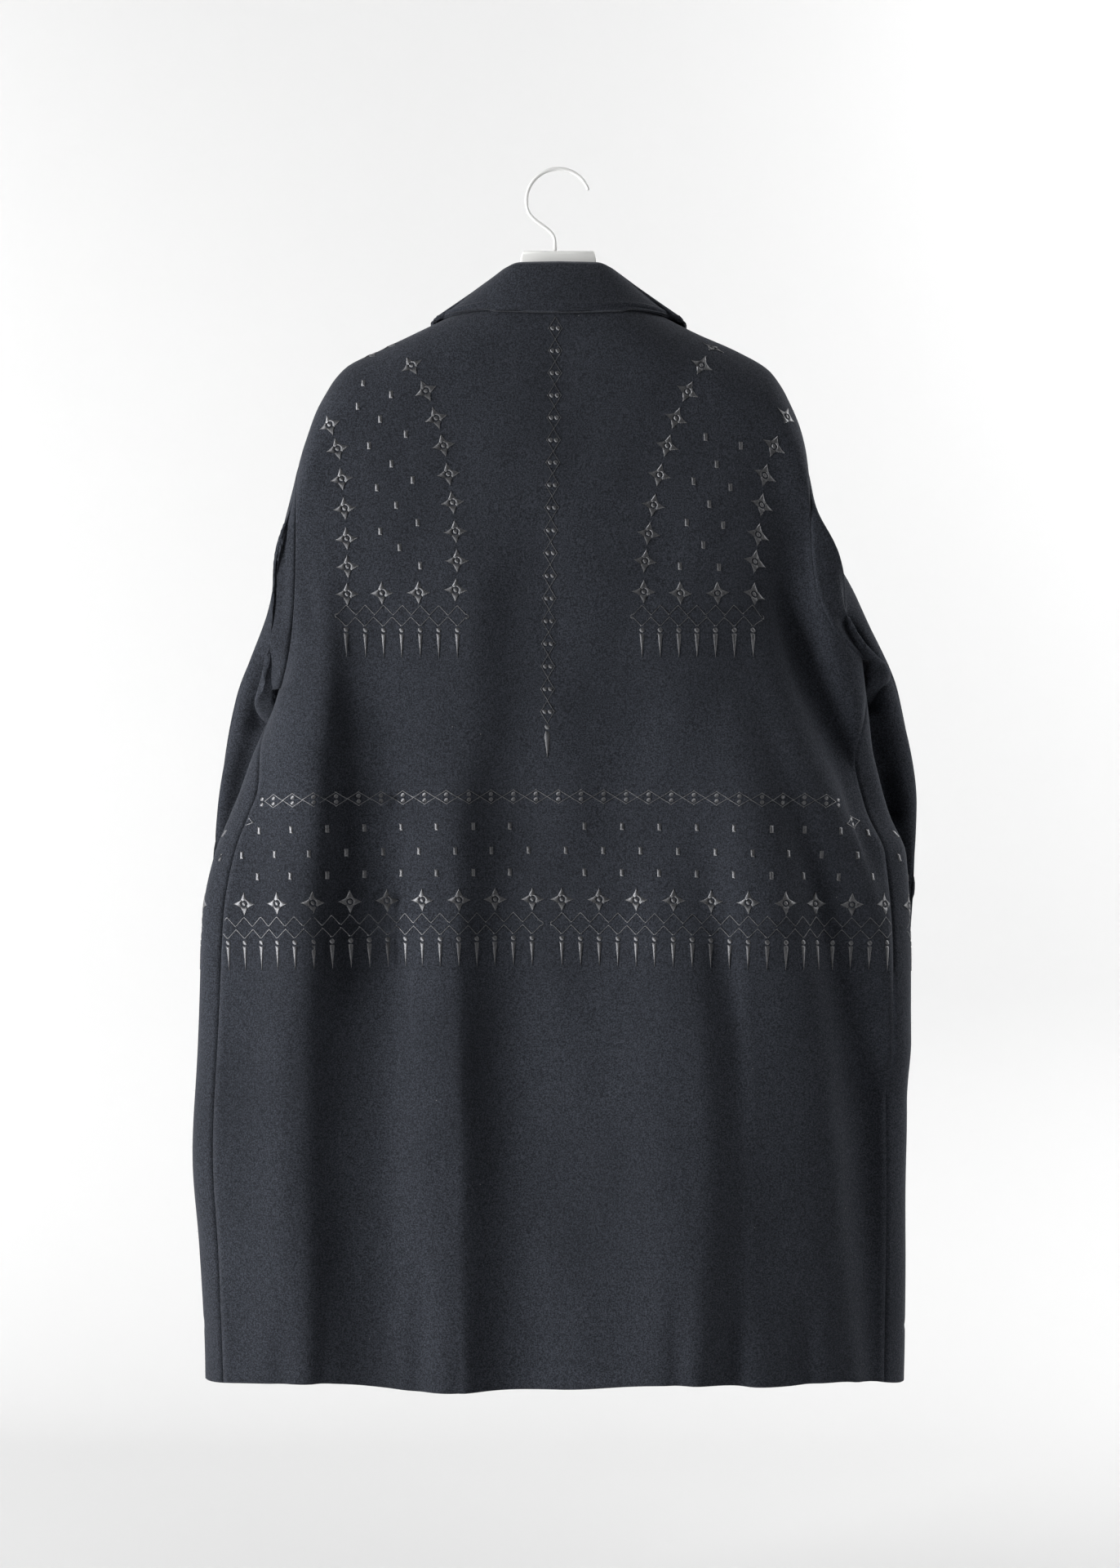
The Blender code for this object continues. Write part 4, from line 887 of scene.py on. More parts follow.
def border_loops(rows, columns, closed):
    """The grid's border as loops of point numbers, in the direction that rims need."""
    numbers = np.arange(rows * columns).reshape(rows, columns)
    top, bottom = numbers[0], numbers[-1, ::-1]
    if closed:
        return [top, bottom]
    return [np.concatenate((top, numbers[1:-1, -1], bottom, numbers[-2:0:-1, 0]))]


def cloth_piece(name, grid, closed, flip, free_edges, material):
    """A closed wall of cloth behind a grid of its outer points. Free edges are rounded."""
    rows, columns = grid.shape[:2]
    outer = grid.copy()
    inner = grid - grid_normals(grid, closed) * flip * WALL
    away = np.zeros_like(grid)
    free = np.zeros((rows, columns), dtype=bool)
    for border, place, inside in (
        ("top", np.s_[0, :], np.s_[1, :]), ("bottom", np.s_[-1, :], np.s_[-2, :]),
        ("first", np.s_[:, 0], np.s_[:, 1]), ("last", np.s_[:, -1], np.s_[:, -2]),
    ):
        if border in free_edges:
            way = unit(grid[place] - grid[inside]) * EDGE_ROUND
            outer[place] -= way
            inner[place] -= way
            away[place] += way
            free[place] = True
    middle = ((outer + inner) / 2.0 + away).reshape(-1, 3)

    count = rows * columns
    free = free.ravel()
    quads = grid_quads(rows, columns, closed).reshape(-1, 4)
    faces = [quads, quads[:, ::-1] + count]
    flat_faces = [np.zeros(2 * len(quads), dtype=bool)]
    points = [outer.reshape(-1, 3), inner.reshape(-1, 3)]
    start = 2 * count
    for here in border_loops(rows, columns, closed):
        there = np.roll(here, -1)
        mid_here = start + np.arange(len(here))
        mid_there = np.roll(mid_here, -1)
        points.append(middle[here])
        faces.append(np.stack((here, there, mid_there, mid_here), axis=-1))
        faces.append(np.stack((mid_here, mid_there, there + count, here + count), axis=-1))
        flat_faces += [~(free[here] & free[there])] * 2
        start += len(here)
    faces = np.concatenate(faces)[:, ::flip]
    piece = mesh_piece(name, np.concatenate(points), faces, material)
    piece.data.polygons.foreach_set("use_smooth", ~np.concatenate(flat_faces))
    return piece


def plain_mesh(name, points, faces, edges=()):
    mesh = bpy.data.meshes.new(name)
    faces = faces.tolist() if isinstance(faces, np.ndarray) else faces
    mesh.from_pydata(np.asarray(points).tolist(), edges, faces)
    mesh.validate()
    mesh.shade_smooth()
    return mesh


def mesh_piece(name, points, faces, material=None):
    mesh = plain_mesh(name, points, faces)
    if material is not None:
        mesh.materials.append(material)
    return link(name, mesh)


def solid_piece(name, points, faces, material=None, sharp=math.pi):
    """A closed piece whose faces all look outwards. Edges bent by more than 'sharp' stay sharp."""
    piece = mesh_piece(name, points, faces, material)
    work = bmesh.new()
    work.from_mesh(piece.data)
    bmesh.ops.recalc_face_normals(work, faces=work.faces)
    work.to_mesh(piece.data)
    work.free()
    piece.data.shade_smooth()
    if sharp < math.pi:
        piece.data.set_sharp_from_angle(angle=sharp)
    return piece


def link(name, data):
    piece = bpy.data.objects.new(name, data)
    bpy.context.scene.collection.objects.link(piece)
    return piece


def remove(piece):
    bpy.data.objects.remove(piece, do_unlink=True)


def evaluated_mesh(piece):
    """What a piece's modifiers make of it, as a mesh of its own."""
    depsgraph = bpy.context.evaluated_depsgraph_get()
    return bpy.data.meshes.new_from_object(piece.evaluated_get(depsgraph), depsgraph=depsgraph)


# Cloth grids, worked out once and shared by the cloth, the stitching and the embroidery
GRIDS = {}


def cloth_grid(name):
    """The outer points of a cloth piece, with its small creases."""
    if name not in GRIDS:
        if name == "back":
            plain = back_panel()
            relief = panel_relief(plain, BACK_CREASES, True, UNEVEN_SHIFTS[name])
            GRIDS[name] = raised(plain, False, CUTS[name].flip, relief)
        elif name == "collar":
            GRIDS[name] = collar_with_edge()
        else:
            side = LEFT if name.endswith("left") else RIGHT
            GRIDS[name] = front_grid(side, name) if name.startswith("front") else sleeve_grid(side)
    return GRIDS[name]


def collar_with_edge():
    """The collar with finer rows by its edge: a pressed line of topstitching and a padded roll."""
    grid = collar().transpose(1, 0, 2)
    first, last = grid[-2], grid[-1]
    way = last - first
    length = np.linalg.norm(way, axis=-1, keepdims=True)
    way = way / length
    out = grid_normals(grid, False)[-1] * CUTS["collar"].flip
    middle = dip(last[:, 0], COLLAR_LONGER_WIDTH)[:, None]
    rows = list(grid[:-1])
    for distance in COLLAR_EDGE_ROWS:
        share = 1.0 - distance / COLLAR_EDGE_ROWS[0]
        inwards = np.minimum(distance, length * COLLAR_EDGE_WITHIN)
        place = last + way * (COLLAR_LONGER * middle * share - inwards)
        raise_by = COLLAR_ROLL * float(smooth_step((COLLAR_ROLL_WIDTH - distance) / COLLAR_ROLL_RISES_OVER))
        raise_by -= COLLAR_PRESSED * float(dip(distance - COLLAR_STITCHED_AT, COLLAR_STITCHED_WIDTH))
        rows.append(place + out * raise_by)
    return np.array(rows)


def sleeve_grid(side):
    """A sleeve with its relief. The creases on its back move it straight back or forward."""
    grid = sleeve(side)
    down = lengths_from(grid, 0)
    around = lengths_from(np.concatenate((grid, grid[:, :1]), axis=1), 1)[:, :-1]
    height = unevenness(around * SLEEVE_UNEVEN_SCALE, down, 1.0 + side.sign)
    height = height * smooth_step(down / SLEEVE_RELIEF_FROM_SEAM)
    height = height - SEAM_DIP * dip(down, SEAM_DIP_WIDTH)
    on_back = smooth_step(grid_normals(grid, True)[..., 1] * side.sign / CREASE_FACES_BACK)
    folds = fold_height(SLEEVE_CREASES[side.sign], grid[..., 0], -grid[..., 2])
    grid[..., 1] += folds * on_back * smooth_step(down / CREASE_CLEAR_OF_SEAM)
    return raised(grid, True, side.sign, height)


# Grounds: level lines on the cloth, with the length of each point from the centre line and the
# shoulders, so that embroidery can be laid out flat and wrapped on the cloth
GROUND_TOP = 0.1
GROUND_LEVEL_STEP = 0.004
GROUND_COLUMNS = 170
GROUND_ZERO_DROP = 0.6
GROUND_SHIFT = 1.5
GROUND_SHARE = 0.998
GROUND_RAY_REACH = 2.5
GROUND_STEEPEST = 0.35


def surface_tree(name):
    grid = cloth_grid(name)
    quads = grid_quads(*grid.shape[:2]).reshape(-1, 4)
    return BVHTree.FromPolygons(grid.reshape(-1, 3).tolist(), quads.tolist())


def ground_half(side, face, tree):
    """Points on level lines from the centre line outwards, whether each is on the cloth, and the
    lengths across and down to it."""
    levels = np.arange(GROUND_TOP, HEM_DROP + GROUND_LEVEL_STEP, GROUND_LEVEL_STEP)
    centre, edge = (0.0, math.pi / 2.0) if face == "back" else (math.pi, math.pi / 2.0 - SEAM_BEHIND_EDGE)
    share = np.linspace(0.0, GROUND_SHARE, GROUND_COLUMNS)
    angles = angle_between(edge, centre, 1.0 - share)
    points = np.zeros((len(levels), GROUND_COLUMNS, 3))
    on_cloth = np.zeros((len(levels), GROUND_COLUMNS), dtype=bool)
    for row, drop in enumerate(levels):
        across, depth = section_place(side, angles, np.full(GROUND_COLUMNS, drop))
        for place in range(GROUND_COLUMNS):
            plain = Vector((across[place], depth[place], 0.0))
            start = plain * GROUND_RAY_REACH + Vector((0.0, 0.0, -drop))
            hit = tree.ray_cast(start, -plain, plain.length * GROUND_RAY_REACH)[0]
            points[row, place] = hit if hit is not None else (across[place], depth[place], -drop)
            on_cloth[row, place] = hit is not None
    facing = 1.0 if face == "back" else -1.0
    normals = grid_normals(points, False) * facing * side.sign
    normals = normals * np.sign(np.sum(normals[..., :2] * points[..., :2], axis=-1, keepdims=True))
    level = np.maximum(np.hypot(normals[..., 0], normals[..., 1]), GROUND_STEEPEST)
    down = np.cumsum(GROUND_LEVEL_STEP / level, axis=0)
    zero = int(round((GROUND_ZERO_DROP - GROUND_TOP) / GROUND_LEVEL_STEP))
    down = down - down[zero:zero + 1] + GROUND_ZERO_DROP
    out = lengths_from(points, 1)
    return points, on_cloth, out, down, normals


def ground(face):
    """The whole back or front as one mesh with its flat places, seen from that side."""
    names = {"back": ("back", "back"), "front": ("front_left", "front_right")}[face]
    facing = 1.0 if face == "back" else -1.0
    parts = {"points": [], "flat": [], "out": [], "faces": []}
    start = 0
    for side, name in zip((LEFT, RIGHT), names):
        points, on_cloth, out, down, normals = ground_half(side, face, surface_tree(name))
        flat = np.stack((-facing * side.sign * out, -down, np.zeros_like(out)), axis=-1)
        whole = on_cloth[:-1, :-1] & on_cloth[1:, :-1] & on_cloth[1:, 1:] & on_cloth[:-1, 1:]
        for key, value in (("points", points), ("flat", flat), ("out", normals)):
            parts[key].append(value.reshape(-1, 3))
        parts["faces"].append(grid_quads(*on_cloth.shape)[whole] + start)
        start += on_cloth.size
    values = {key: np.concatenate(value) for key, value in parts.items()}
    piece = mesh_piece("ground_" + face, values["points"], values["faces"])
    for name in ("flat", "out"):
        layer = piece.data.attributes.new(name, "FLOAT_VECTOR", "POINT")
        shifted = values[name] + (GROUND_SHIFT if name == "flat" else 0.0)
        layer.data.foreach_set("vector", shifted.astype(np.float32).ravel())
    tree = BVHTree.FromPolygons(values["points"].tolist(), values["faces"].tolist())
    return piece, tree, values


def flat_place(ground_values, tree, across, drop, facing):
    """The flat place of a point of the cloth that is seen at 'across' and 'drop' from straight
    behind or in front, in the plane of the hanger."""
    eye = Vector((CAMERA_ACROSS, CAMERA_DISTANCE * facing, -CAMERA_DROP))
    aim = Vector((across, 0.0, -drop)) - eye
    hit, _, number, _ = tree.ray_cast(eye, aim)
    if hit is None:
        return None
    corners = ground_values["faces"][number]
    points = ground_values["points"][corners]
    weights = 1.0 / np.maximum(np.linalg.norm(points - np.array(hit), axis=1), 1e-6) ** 2
    flat = np.sum(ground_values["flat"][corners] * weights[:, None], axis=0) / np.sum(weights)
    return float(flat[0]), float(flat[1])


def stitches_mesh(name, stitches):
    """A flat motif made of arched stitches: rows of start x, y, end x, y, width and height."""
    rows = np.asarray(stitches, dtype=float)
    start = rows[:, 0:2]
    way = rows[:, 2:4] - start
    aside = unit(np.stack((-way[:, 1], way[:, 0]), axis=1))
    points = []
    for share, rise in STITCH_ARCH:
        for turn, crown in ((-0.5, STITCH_SIDE), (0.0, 1.0), (0.5, STITCH_SIDE)):
            place = start + way * share + aside * rows[:, 4:5] * turn
            height = rows[:, 5] * rise * crown - STITCH_SUNK * (1.0 - rise * crown)
            points.append(np.concatenate((place, height[:, None]), axis=1))
    base = np.arange(len(rows))[:, None, None] * len(points)
    faces = grid_quads(len(STITCH_ARCH), 3).reshape(-1, 4) + base
    return plain_mesh(name, np.stack(points, axis=1).reshape(-1, 3), faces.reshape(-1, 4))


def sized(ends, width, height):
    """Stitches of one size, from rows of start x, y and end x, y."""
    return np.concatenate((ends, np.broadcast_to((width, height), (len(ends), 2))), axis=1)


def filled(shape, centre, size, angle):
    """Parallel satin stitches at an angle that fill a shape, given as a test of points."""
    way = np.array((math.cos(angle), math.sin(angle)))
    aside = np.array((-way[1], way[0]))
    steps = np.arange(-size, size + FILL_STEP, FILL_STEP)
    starts = []
    ends = []
    for offset in np.arange(-size, size, STITCH_PITCH) + STITCH_PITCH / 2.0:
        points = np.asarray(centre) + aside * offset + steps[:, None] * way
        within = np.concatenate(([False], shape(points[:, 0], points[:, 1]), [False]))
        changes = np.flatnonzero(within[1:] != within[:-1])
        for first, last in zip(changes[::2], changes[1::2]):
            starts.append(points[first] - way * FILL_STEP / 2.0)
            ends.append(points[last - 1] + way * FILL_STEP / 2.0)
    return satin(starts, ends, THREAD_HEIGHT)


def satin(left, right, height):
    """Satin stitches that fill the space between two lines of points."""
    return sized(np.concatenate((left, right), axis=1), STITCH_PITCH * STITCH_OVERLAP, height)


def line_of_stitches(line):
    """Short slanted stitches along a line."""
    line = np.asarray(line, dtype=float)
    lengths = lengths_along(line)
    count = max(2, int(round(lengths[-1] / LINE_STITCH)))
    stops = (np.arange(count) + 0.5) * lengths[-1] / count
    centre, ahead, behind = (
        np.stack([np.interp(stops + shift, lengths, line[:, axis]) for axis in (0, 1)], axis=1)
        for shift in (0.0, LINE_LOOKS_AHEAD, -LINE_LOOKS_AHEAD)
    )
    way = unit(ahead - behind)
    aside = np.stack((-way[:, 1], way[:, 0]), axis=1)
    half = way * LINE_STITCH * LINE_OVERLAP + aside * LINE_WIDTH * LINE_SLANT
    return sized(np.concatenate((centre - half, centre + half), axis=1), LINE_WIDTH, LINE_HEIGHT)


def disc(centre, radius):
    """A dot of slanted satin stitches."""
    def shape(x, y):
        return np.hypot(x - centre[0], y - centre[1]) < radius

    return filled(shape, centre, radius, SLANT)


def star_motif():
    """A four-pointed star with hollow sides, and a dot in the round opening in its middle."""
    arms = []
    for quarter, slant in enumerate(STAR_SLANTS):
        way = np.array((math.cos(quarter * math.pi / 2.0), math.sin(quarter * math.pi / 2.0)))

        def shape(x, y):
            along = x * way[0] + y * way[1]
            aside = np.abs(y * way[0] - x * way[1])
            left = np.clip((STAR_REACH - along) / (STAR_REACH - STAR_ROOT), 0.0, 1.0)
            half = np.minimum(STAR_ROOT * left ** STAR_HOLLOW, along)
            return (np.hypot(x, y) > STAR_RING) & (along > 0.0) & (along < STAR_REACH) & (aside < half)

        arms.append(filled(shape, way * STAR_REACH / 2.0, STAR_REACH * STAR_FILL, slant))
    return np.concatenate(arms + [disc((0.0, 0.0), STAR_DOT)])


def diamond_motif(length, width):
    """The outline of a diamond whose long way runs up, with two dots side by side in it."""
    corners = ((0.0, -length / 2.0), (width / 2.0, 0.0), (0.0, length / 2.0), (-width / 2.0, 0.0))
    sides = [line_of_stitches(ends) for ends in zip(corners, corners[1:] + corners[:1])]
    return np.concatenate(sides + [dot_pair_motif()])


def dot_pair_motif():
    return np.concatenate([disc((place * DOT_SPACING / 2.0, 0.0), DOT_RADIUS) for place in (-1, 1)])


def bar_motif():
    def shape(x, y):
        return (np.abs(x) < BAR_WIDTH / 2.0) & (np.abs(y) < BAR_HEIGHT / 2.0)

    return filled(shape, (0.0, 0.0), BAR_HEIGHT * BAR_FILL, SLANT)


def drop_motif(dot_radius, gap, length, width, roundness):
    """A dot over a drop that narrows to a point. The dot's middle is the motif's origin."""
    top = -dot_radius - gap

    def shape(x, y):
        share = np.clip((top - y) / length, 0.0, 1.0)
        half = width / 2.0 * (1.0 - share) * np.minimum(1.0, np.sqrt(share / roundness + DROP_TOP_FLAT))
        return (y < top) & (y > top - length) & (np.abs(x) < np.maximum(half, FILL_STEP))

    body = filled(shape, (0.0, top - length / 2.0), length * DROP_FILL, SLANT)
    return np.concatenate((disc((0.0, 0.0), dot_radius), body))


def zigzag_motif(period, rise, upside_down):
    """One wave of a zigzag line with rounded turns, from trough to trough, or the other way up."""
    share = np.linspace(-0.5, 0.5, ZIGZAG_STATIONS)
    wave = np.arcsin(ZIGZAG_SHARPNESS * np.cos(2.0 * math.pi * share)) / math.asin(ZIGZAG_SHARPNESS)
    points = np.stack((share * period, wave * rise / 2.0 * (-1.0 if upside_down else 1.0)), axis=1)
    return line_of_stitches(points)


def zigzag_end_motif():
    """The turn that joins an upper and a lower zigzag line at the end of a row."""
    angles = np.linspace(-math.pi / 2.0, math.pi / 2.0, ZIGZAG_END_STATIONS)
    across = np.cos(angles) * ZIGZAG_GAP * ZIGZAG_END_BULGE
    return line_of_stitches(np.stack((across, np.sin(angles) * ZIGZAG_GAP / 2.0), axis=1))


def embroidery_motifs():
    """All motifs as meshes in a collection of their own. Their names sort in the order of use."""
    shapes = (
        ("bar", bar_motif()),
        ("chain_diamond", diamond_motif(CHAIN_PITCH, CHAIN_WIDTH)),
        ("dot_pair", dot_pair_motif()),
        ("drop_long", drop_motif(
            LONG_DOT_RADIUS, LONG_DROP_GAP, LONG_DROP_LENGTH, LONG_DROP_WIDTH, LONG_DROP_ROUND,
        )),
        ("drop_small", drop_motif(DROP_DOT_RADIUS, DROP_GAP, DROP_LENGTH, DROP_WIDTH, DROP_ROUND)),
        ("star", star_motif()),
        ("zigzag_end", zigzag_end_motif()),
        ("zigzag_lower", zigzag_motif(ZIGZAG_PERIOD, ZIGZAG_LOWER_RISE, True)),
        ("zigzag_upper", zigzag_motif(ZIGZAG_PERIOD, ZIGZAG_UPPER_RISE, False)),
    )
    collection = bpy.data.collections.new("embroidery_motifs")
    for name, stitches in shapes:
        collection.objects.link(bpy.data.objects.new(name, stitches_mesh(name, stitches)))
    return collection, {name: number for number, (name, _) in enumerate(shapes)}


def connect(tree, node, inputs):
    """Set a node's inputs, each to a value or to another node's output."""
    for name, value in inputs.items():
        if isinstance(value, bpy.types.NodeSocket):
            tree.links.new(value, node.inputs[name])
        else:
            node.inputs[name].default_value = value


def add_node(tree, kind, inputs=None, **settings):
    """A new node with its settings and inputs. Gives its outputs."""
    node = tree.nodes.new(kind)
    for name, value in settings.items():
        setattr(node, name, value)
    connect(tree, node, inputs or {})
    return node.outputs


def named_attribute(tree, name, kind):
    return add_node(tree, "GeometryNodeInputNamedAttribute", {"Name": name}, data_type=kind)["Attribute"]


def new_tree(name, inputs):
    """An empty Geometry Nodes tree with its named inputs."""
    tree = bpy.data.node_groups.new(name, "GeometryNodeTree")
    sockets = [("Geometry", "Geometry", "INPUT")] + [(*pair, "INPUT") for pair in inputs.items()]
    for socket, kind, direction in sockets + [("Geometry", "Geometry", "OUTPUT")]:
        tree.interface.new_socket(name=socket, in_out=direction, socket_type="NodeSocket" + kind)
    return tree, add_node(tree, "NodeGroupInput")


def end_tree(tree, geometry, finish):
    """End a tree in real geometry with its material."""
    whole = add_node(tree, "GeometryNodeRealizeInstances", {"Geometry": geometry})
    done = add_node(tree, "GeometryNodeSetMaterial", {"Geometry": whole["Geometry"], "Material": finish})
    add_node(tree, "NodeGroupOutput", {"Geometry": done["Geometry"]})
    return tree


def wrap_tree():
    """Motifs laid out on flat places, then wrapped on a piece of cloth by those places."""
    tree, given = new_tree("Embroidery wrapped on cloth", {
        "Motifs": "Collection", "Cloth": "Object", "Lift": "Float", "Thread": "Material",
    })
    motifs = add_node(tree, "GeometryNodeCollectionInfo", {
        "Collection": given["Motifs"], "Separate Children": True, "Reset Children": True,
    })
    turn = add_node(tree, "ShaderNodeCombineXYZ", {"Z": named_attribute(tree, "turn", "FLOAT")})
    placed = add_node(tree, "GeometryNodeInstanceOnPoints", {
        "Points": given["Geometry"], "Instance": motifs["Instances"], "Pick Instance": True,
        "Instance Index": named_attribute(tree, "motif", "INT"), "Rotation": turn["Vector"],
    })
    flat = add_node(tree, "GeometryNodeRealizeInstances", {"Geometry": placed["Instances"]})

    cloth = add_node(tree, "GeometryNodeObjectInfo", {"Object": given["Cloth"]})
    position = add_node(tree, "GeometryNodeInputPosition")["Position"]
    place, out = (add_node(tree, "GeometryNodeSampleUVSurface", {
        "Mesh": cloth["Geometry"], "Value": source, "Sample UV": position,
        "Source UV Map": named_attribute(tree, "flat", "FLOAT_VECTOR"),
    }, data_type="FLOAT_VECTOR") for source in (position, named_attribute(tree, "out", "FLOAT_VECTOR")))
    parts = add_node(tree, "ShaderNodeSeparateXYZ", {"Vector": position})
    height = add_node(tree, "ShaderNodeMath", {0: parts["Z"], 1: given["Lift"]}, operation="ADD")
    rise = add_node(tree, "ShaderNodeVectorMath", operation="SCALE", inputs={
        "Vector": out["Value"], "Scale": height["Value"],
    })
    wrapped = add_node(tree, "ShaderNodeVectorMath", {0: place["Value"], 1: rise["Vector"]}, operation="ADD")
    off_cloth = add_node(tree, "FunctionNodeBooleanMath", {0: place["Is Valid"]}, operation="NOT")

    marked = add_node(tree, "GeometryNodeStoreNamedAttribute", {
        "Geometry": flat["Geometry"], "Name": "off_cloth", "Value": off_cloth["Boolean"],
    }, data_type="BOOLEAN")
    moved = add_node(tree, "GeometryNodeSetPosition", {
        "Geometry": marked["Geometry"], "Position": wrapped["Vector"],
    })
    trimmed = add_node(tree, "GeometryNodeDeleteGeometry", {
        "Geometry": moved["Geometry"], "Selection": named_attribute(tree, "off_cloth", "BOOLEAN"),
    }, domain="POINT")
    return end_tree(tree, trimmed["Geometry"], given["Thread"])


def seam_stitches_tree():
    """Sewn stitches that follow a line on the cloth, each turned to the cloth's own face."""
    tree, given = new_tree("Stitches along a seam", {
        "Stitch": "Object", "Stitch length": "Float", "Gap": "Float", "Thickness": "Float",
        "Thread": "Material", "Seed": "Int",
    })
    line = add_node(tree, "GeometryNodeMeshToCurve", {"Mesh": given["Geometry"]})
    step = add_node(tree, "ShaderNodeMath", {0: given["Stitch length"], 1: given["Gap"]}, operation="ADD")
    even = add_node(tree, "GeometryNodeResampleCurve", {
        "Curve": line["Curve"], "Length": step["Value"],
    }, mode="LENGTH")
    tangent = add_node(tree, "GeometryNodeInputTangent")["Tangent"]
    along = add_node(tree, "FunctionNodeAlignRotationToVector", {"Vector": tangent}, axis="X")
    upright = add_node(tree, "FunctionNodeAlignRotationToVector", {
        "Rotation": along["Rotation"], "Vector": named_attribute(tree, "out", "FLOAT_VECTOR"),
    }, axis="Z", pivot_axis="X")
    uneven = add_node(tree, "FunctionNodeRandomValue", {
        2: STITCH_SHORTEST, 3: STITCH_LONGEST, "Seed": given["Seed"],
    }, data_type="FLOAT")
    length = add_node(tree, "ShaderNodeMath", {0: given["Stitch length"], 1: uneven[1]}, operation="MULTIPLY")
    size = add_node(tree, "ShaderNodeCombineXYZ", {
        "X": length["Value"], "Y": given["Thickness"], "Z": given["Thickness"],
    })
    stitch = add_node(tree, "GeometryNodeObjectInfo", {"Object": given["Stitch"]})
    placed = add_node(tree, "GeometryNodeInstanceOnPoints", {
        "Points": even["Curve"], "Instance": stitch["Geometry"], "Rotation": upright["Rotation"],
        "Scale": size["Vector"],
    })
    return end_tree(tree, placed["Instances"], given["Thread"])


def nap_tree():
    """Loose fibres that stand on the cloth, scattered over it and turned at random."""
    tree, given = new_tree("Nap on wool", {
        "Fibre": "Object", "Density": "Float", "Length": "Float", "Wool": "Material", "Seed": "Int",
    })
    scattered = add_node(tree, "GeometryNodeDistributePointsOnFaces", {
        "Mesh": given["Geometry"], "Density": given["Density"], "Seed": given["Seed"],
    })
    lean = add_node(tree, "FunctionNodeRandomValue", {
        0: FIBRE_LEANS_FROM, 1: FIBRE_LEANS_TO, "Seed": given["Seed"],
    }, data_type="FLOAT_VECTOR")
    aim = add_node(tree, "ShaderNodeVectorMath", {0: scattered["Normal"], 1: lean[0]}, operation="ADD")
    turned = add_node(tree, "FunctionNodeAlignRotationToVector", {"Vector": aim["Vector"]}, axis="Z")
    vary = add_node(tree, "FunctionNodeRandomValue", {2: FIBRE_SHORTEST, 3: 1.0}, data_type="FLOAT")
    length = add_node(tree, "ShaderNodeMath", {0: vary[1], 1: given["Length"]}, operation="MULTIPLY")
    fibre = add_node(tree, "GeometryNodeObjectInfo", {"Object": given["Fibre"]})
    placed = add_node(tree, "GeometryNodeInstanceOnPoints", {
        "Points": scattered["Points"], "Instance": fibre["Geometry"], "Rotation": turned["Rotation"],
        "Scale": length["Value"],
    })
    return end_tree(tree, placed["Instances"], given["Wool"])


# Sewing stitches and fibres, as shares of their own length
STITCH_SIDES = 6
FIBRE_SIDES = 3
STITCH_SHORTEST = 0.92
STITCH_LONGEST = 1.06
FIBRE_SHORTEST = 0.35
FIBRE_LEANS_FROM = (-1.0, -1.0, -1.4)
FIBRE_LEANS_TO = (1.0, 1.0, 0.6)
STITCH_STATIONS = (
    (-0.5, -0.55, 0.3), (-0.32, 0.1, 0.5), (0.0, 0.22, 0.55), (0.32, 0.1, 0.5), (0.5, -0.55, 0.3),
)
FIBRE_STATIONS = ((0.0, 0.0, 0.022), (0.45, 0.1, 0.018), (0.8, 0.3, 0.012), (1.0, 0.52, 0.004))


def sewn_stitch():
    """One stitch of unit length, unit thick: a low arch of thread whose ends go into the cloth."""
    points = []
    for along, rise, width in STITCH_STATIONS:
        for turn in range(STITCH_SIDES):
            angle = turn * math.pi * 2.0 / STITCH_SIDES
            points.append((along, width * math.cos(angle), rise + width * math.sin(angle)))
    return mesh_piece("sewn_stitch", points, tube_faces(len(STITCH_STATIONS), STITCH_SIDES)[:, ::-1])


def loose_fibre():
    """One fibre of unit length: a thin bent three-sided hair."""
    points = []
    for height, bend, width in FIBRE_STATIONS:
        for turn in range(FIBRE_SIDES):
            angle = turn * math.pi * 2.0 / FIBRE_SIDES
            points.append((bend + width * math.cos(angle), width * math.sin(angle), height))
    return mesh_piece("loose_fibre", points, tube_faces(len(FIBRE_STATIONS), FIBRE_SIDES))


def line_on_cloth(rows, distance):
    """Points at a length in from the start of each row, with the cloth's outward direction."""
    points = []
    outs = []
    for line, directions in rows:
        lengths = lengths_along(line)
        for made, values in ((points, line), (outs, directions)):
            made.append([np.interp(distance, lengths, values[:, axis]) for axis in range(3)])
    return np.array(points), np.array(outs)


def topstitching_lines(distance):
    """The lines of topstitching: round the collar's edge and down both front edges."""
    lines = []
    for name in ("collar", "front_left", "front_right"):
        grid = cloth_grid(name)
        outward = grid_normals(grid, False) * CUTS[name].flip
        if name == "collar":
            parts = [np.s_[:COLLAR_FALL_FROM:-1, place]
                     for place in range(COLLAR_END_LEFT, grid.shape[1] - COLLAR_END_LEFT)]
        else:
            parts = [np.s_[row, ::-1] for row in range(FRONT_TOP_LEFT, grid.shape[0] - FRONT_HEM_LEFT)]
        lines.append(line_on_cloth([(grid[part], outward[part]) for part in parts], distance))
    return lines


def set_inputs(modifier, tree, values):
    """Set a modifier's inputs by their sockets' identifiers."""
    for item in tree.interface.items_tree:
        if item.item_type == "SOCKET" and item.in_out == "INPUT" and item.name in values:
            modifier[item.identifier] = values[item.name]


def points_object(name, points, attributes, edges=()):
    """Bare points, or a line of them, with named values."""
    mesh = plain_mesh(name, points, (), edges)
    for key, (kind, field, values) in attributes.items():
        layer = mesh.attributes.new(key, kind, "POINT")
        layer.data.foreach_set(field, np.ravel(values))
    return link(name, mesh)


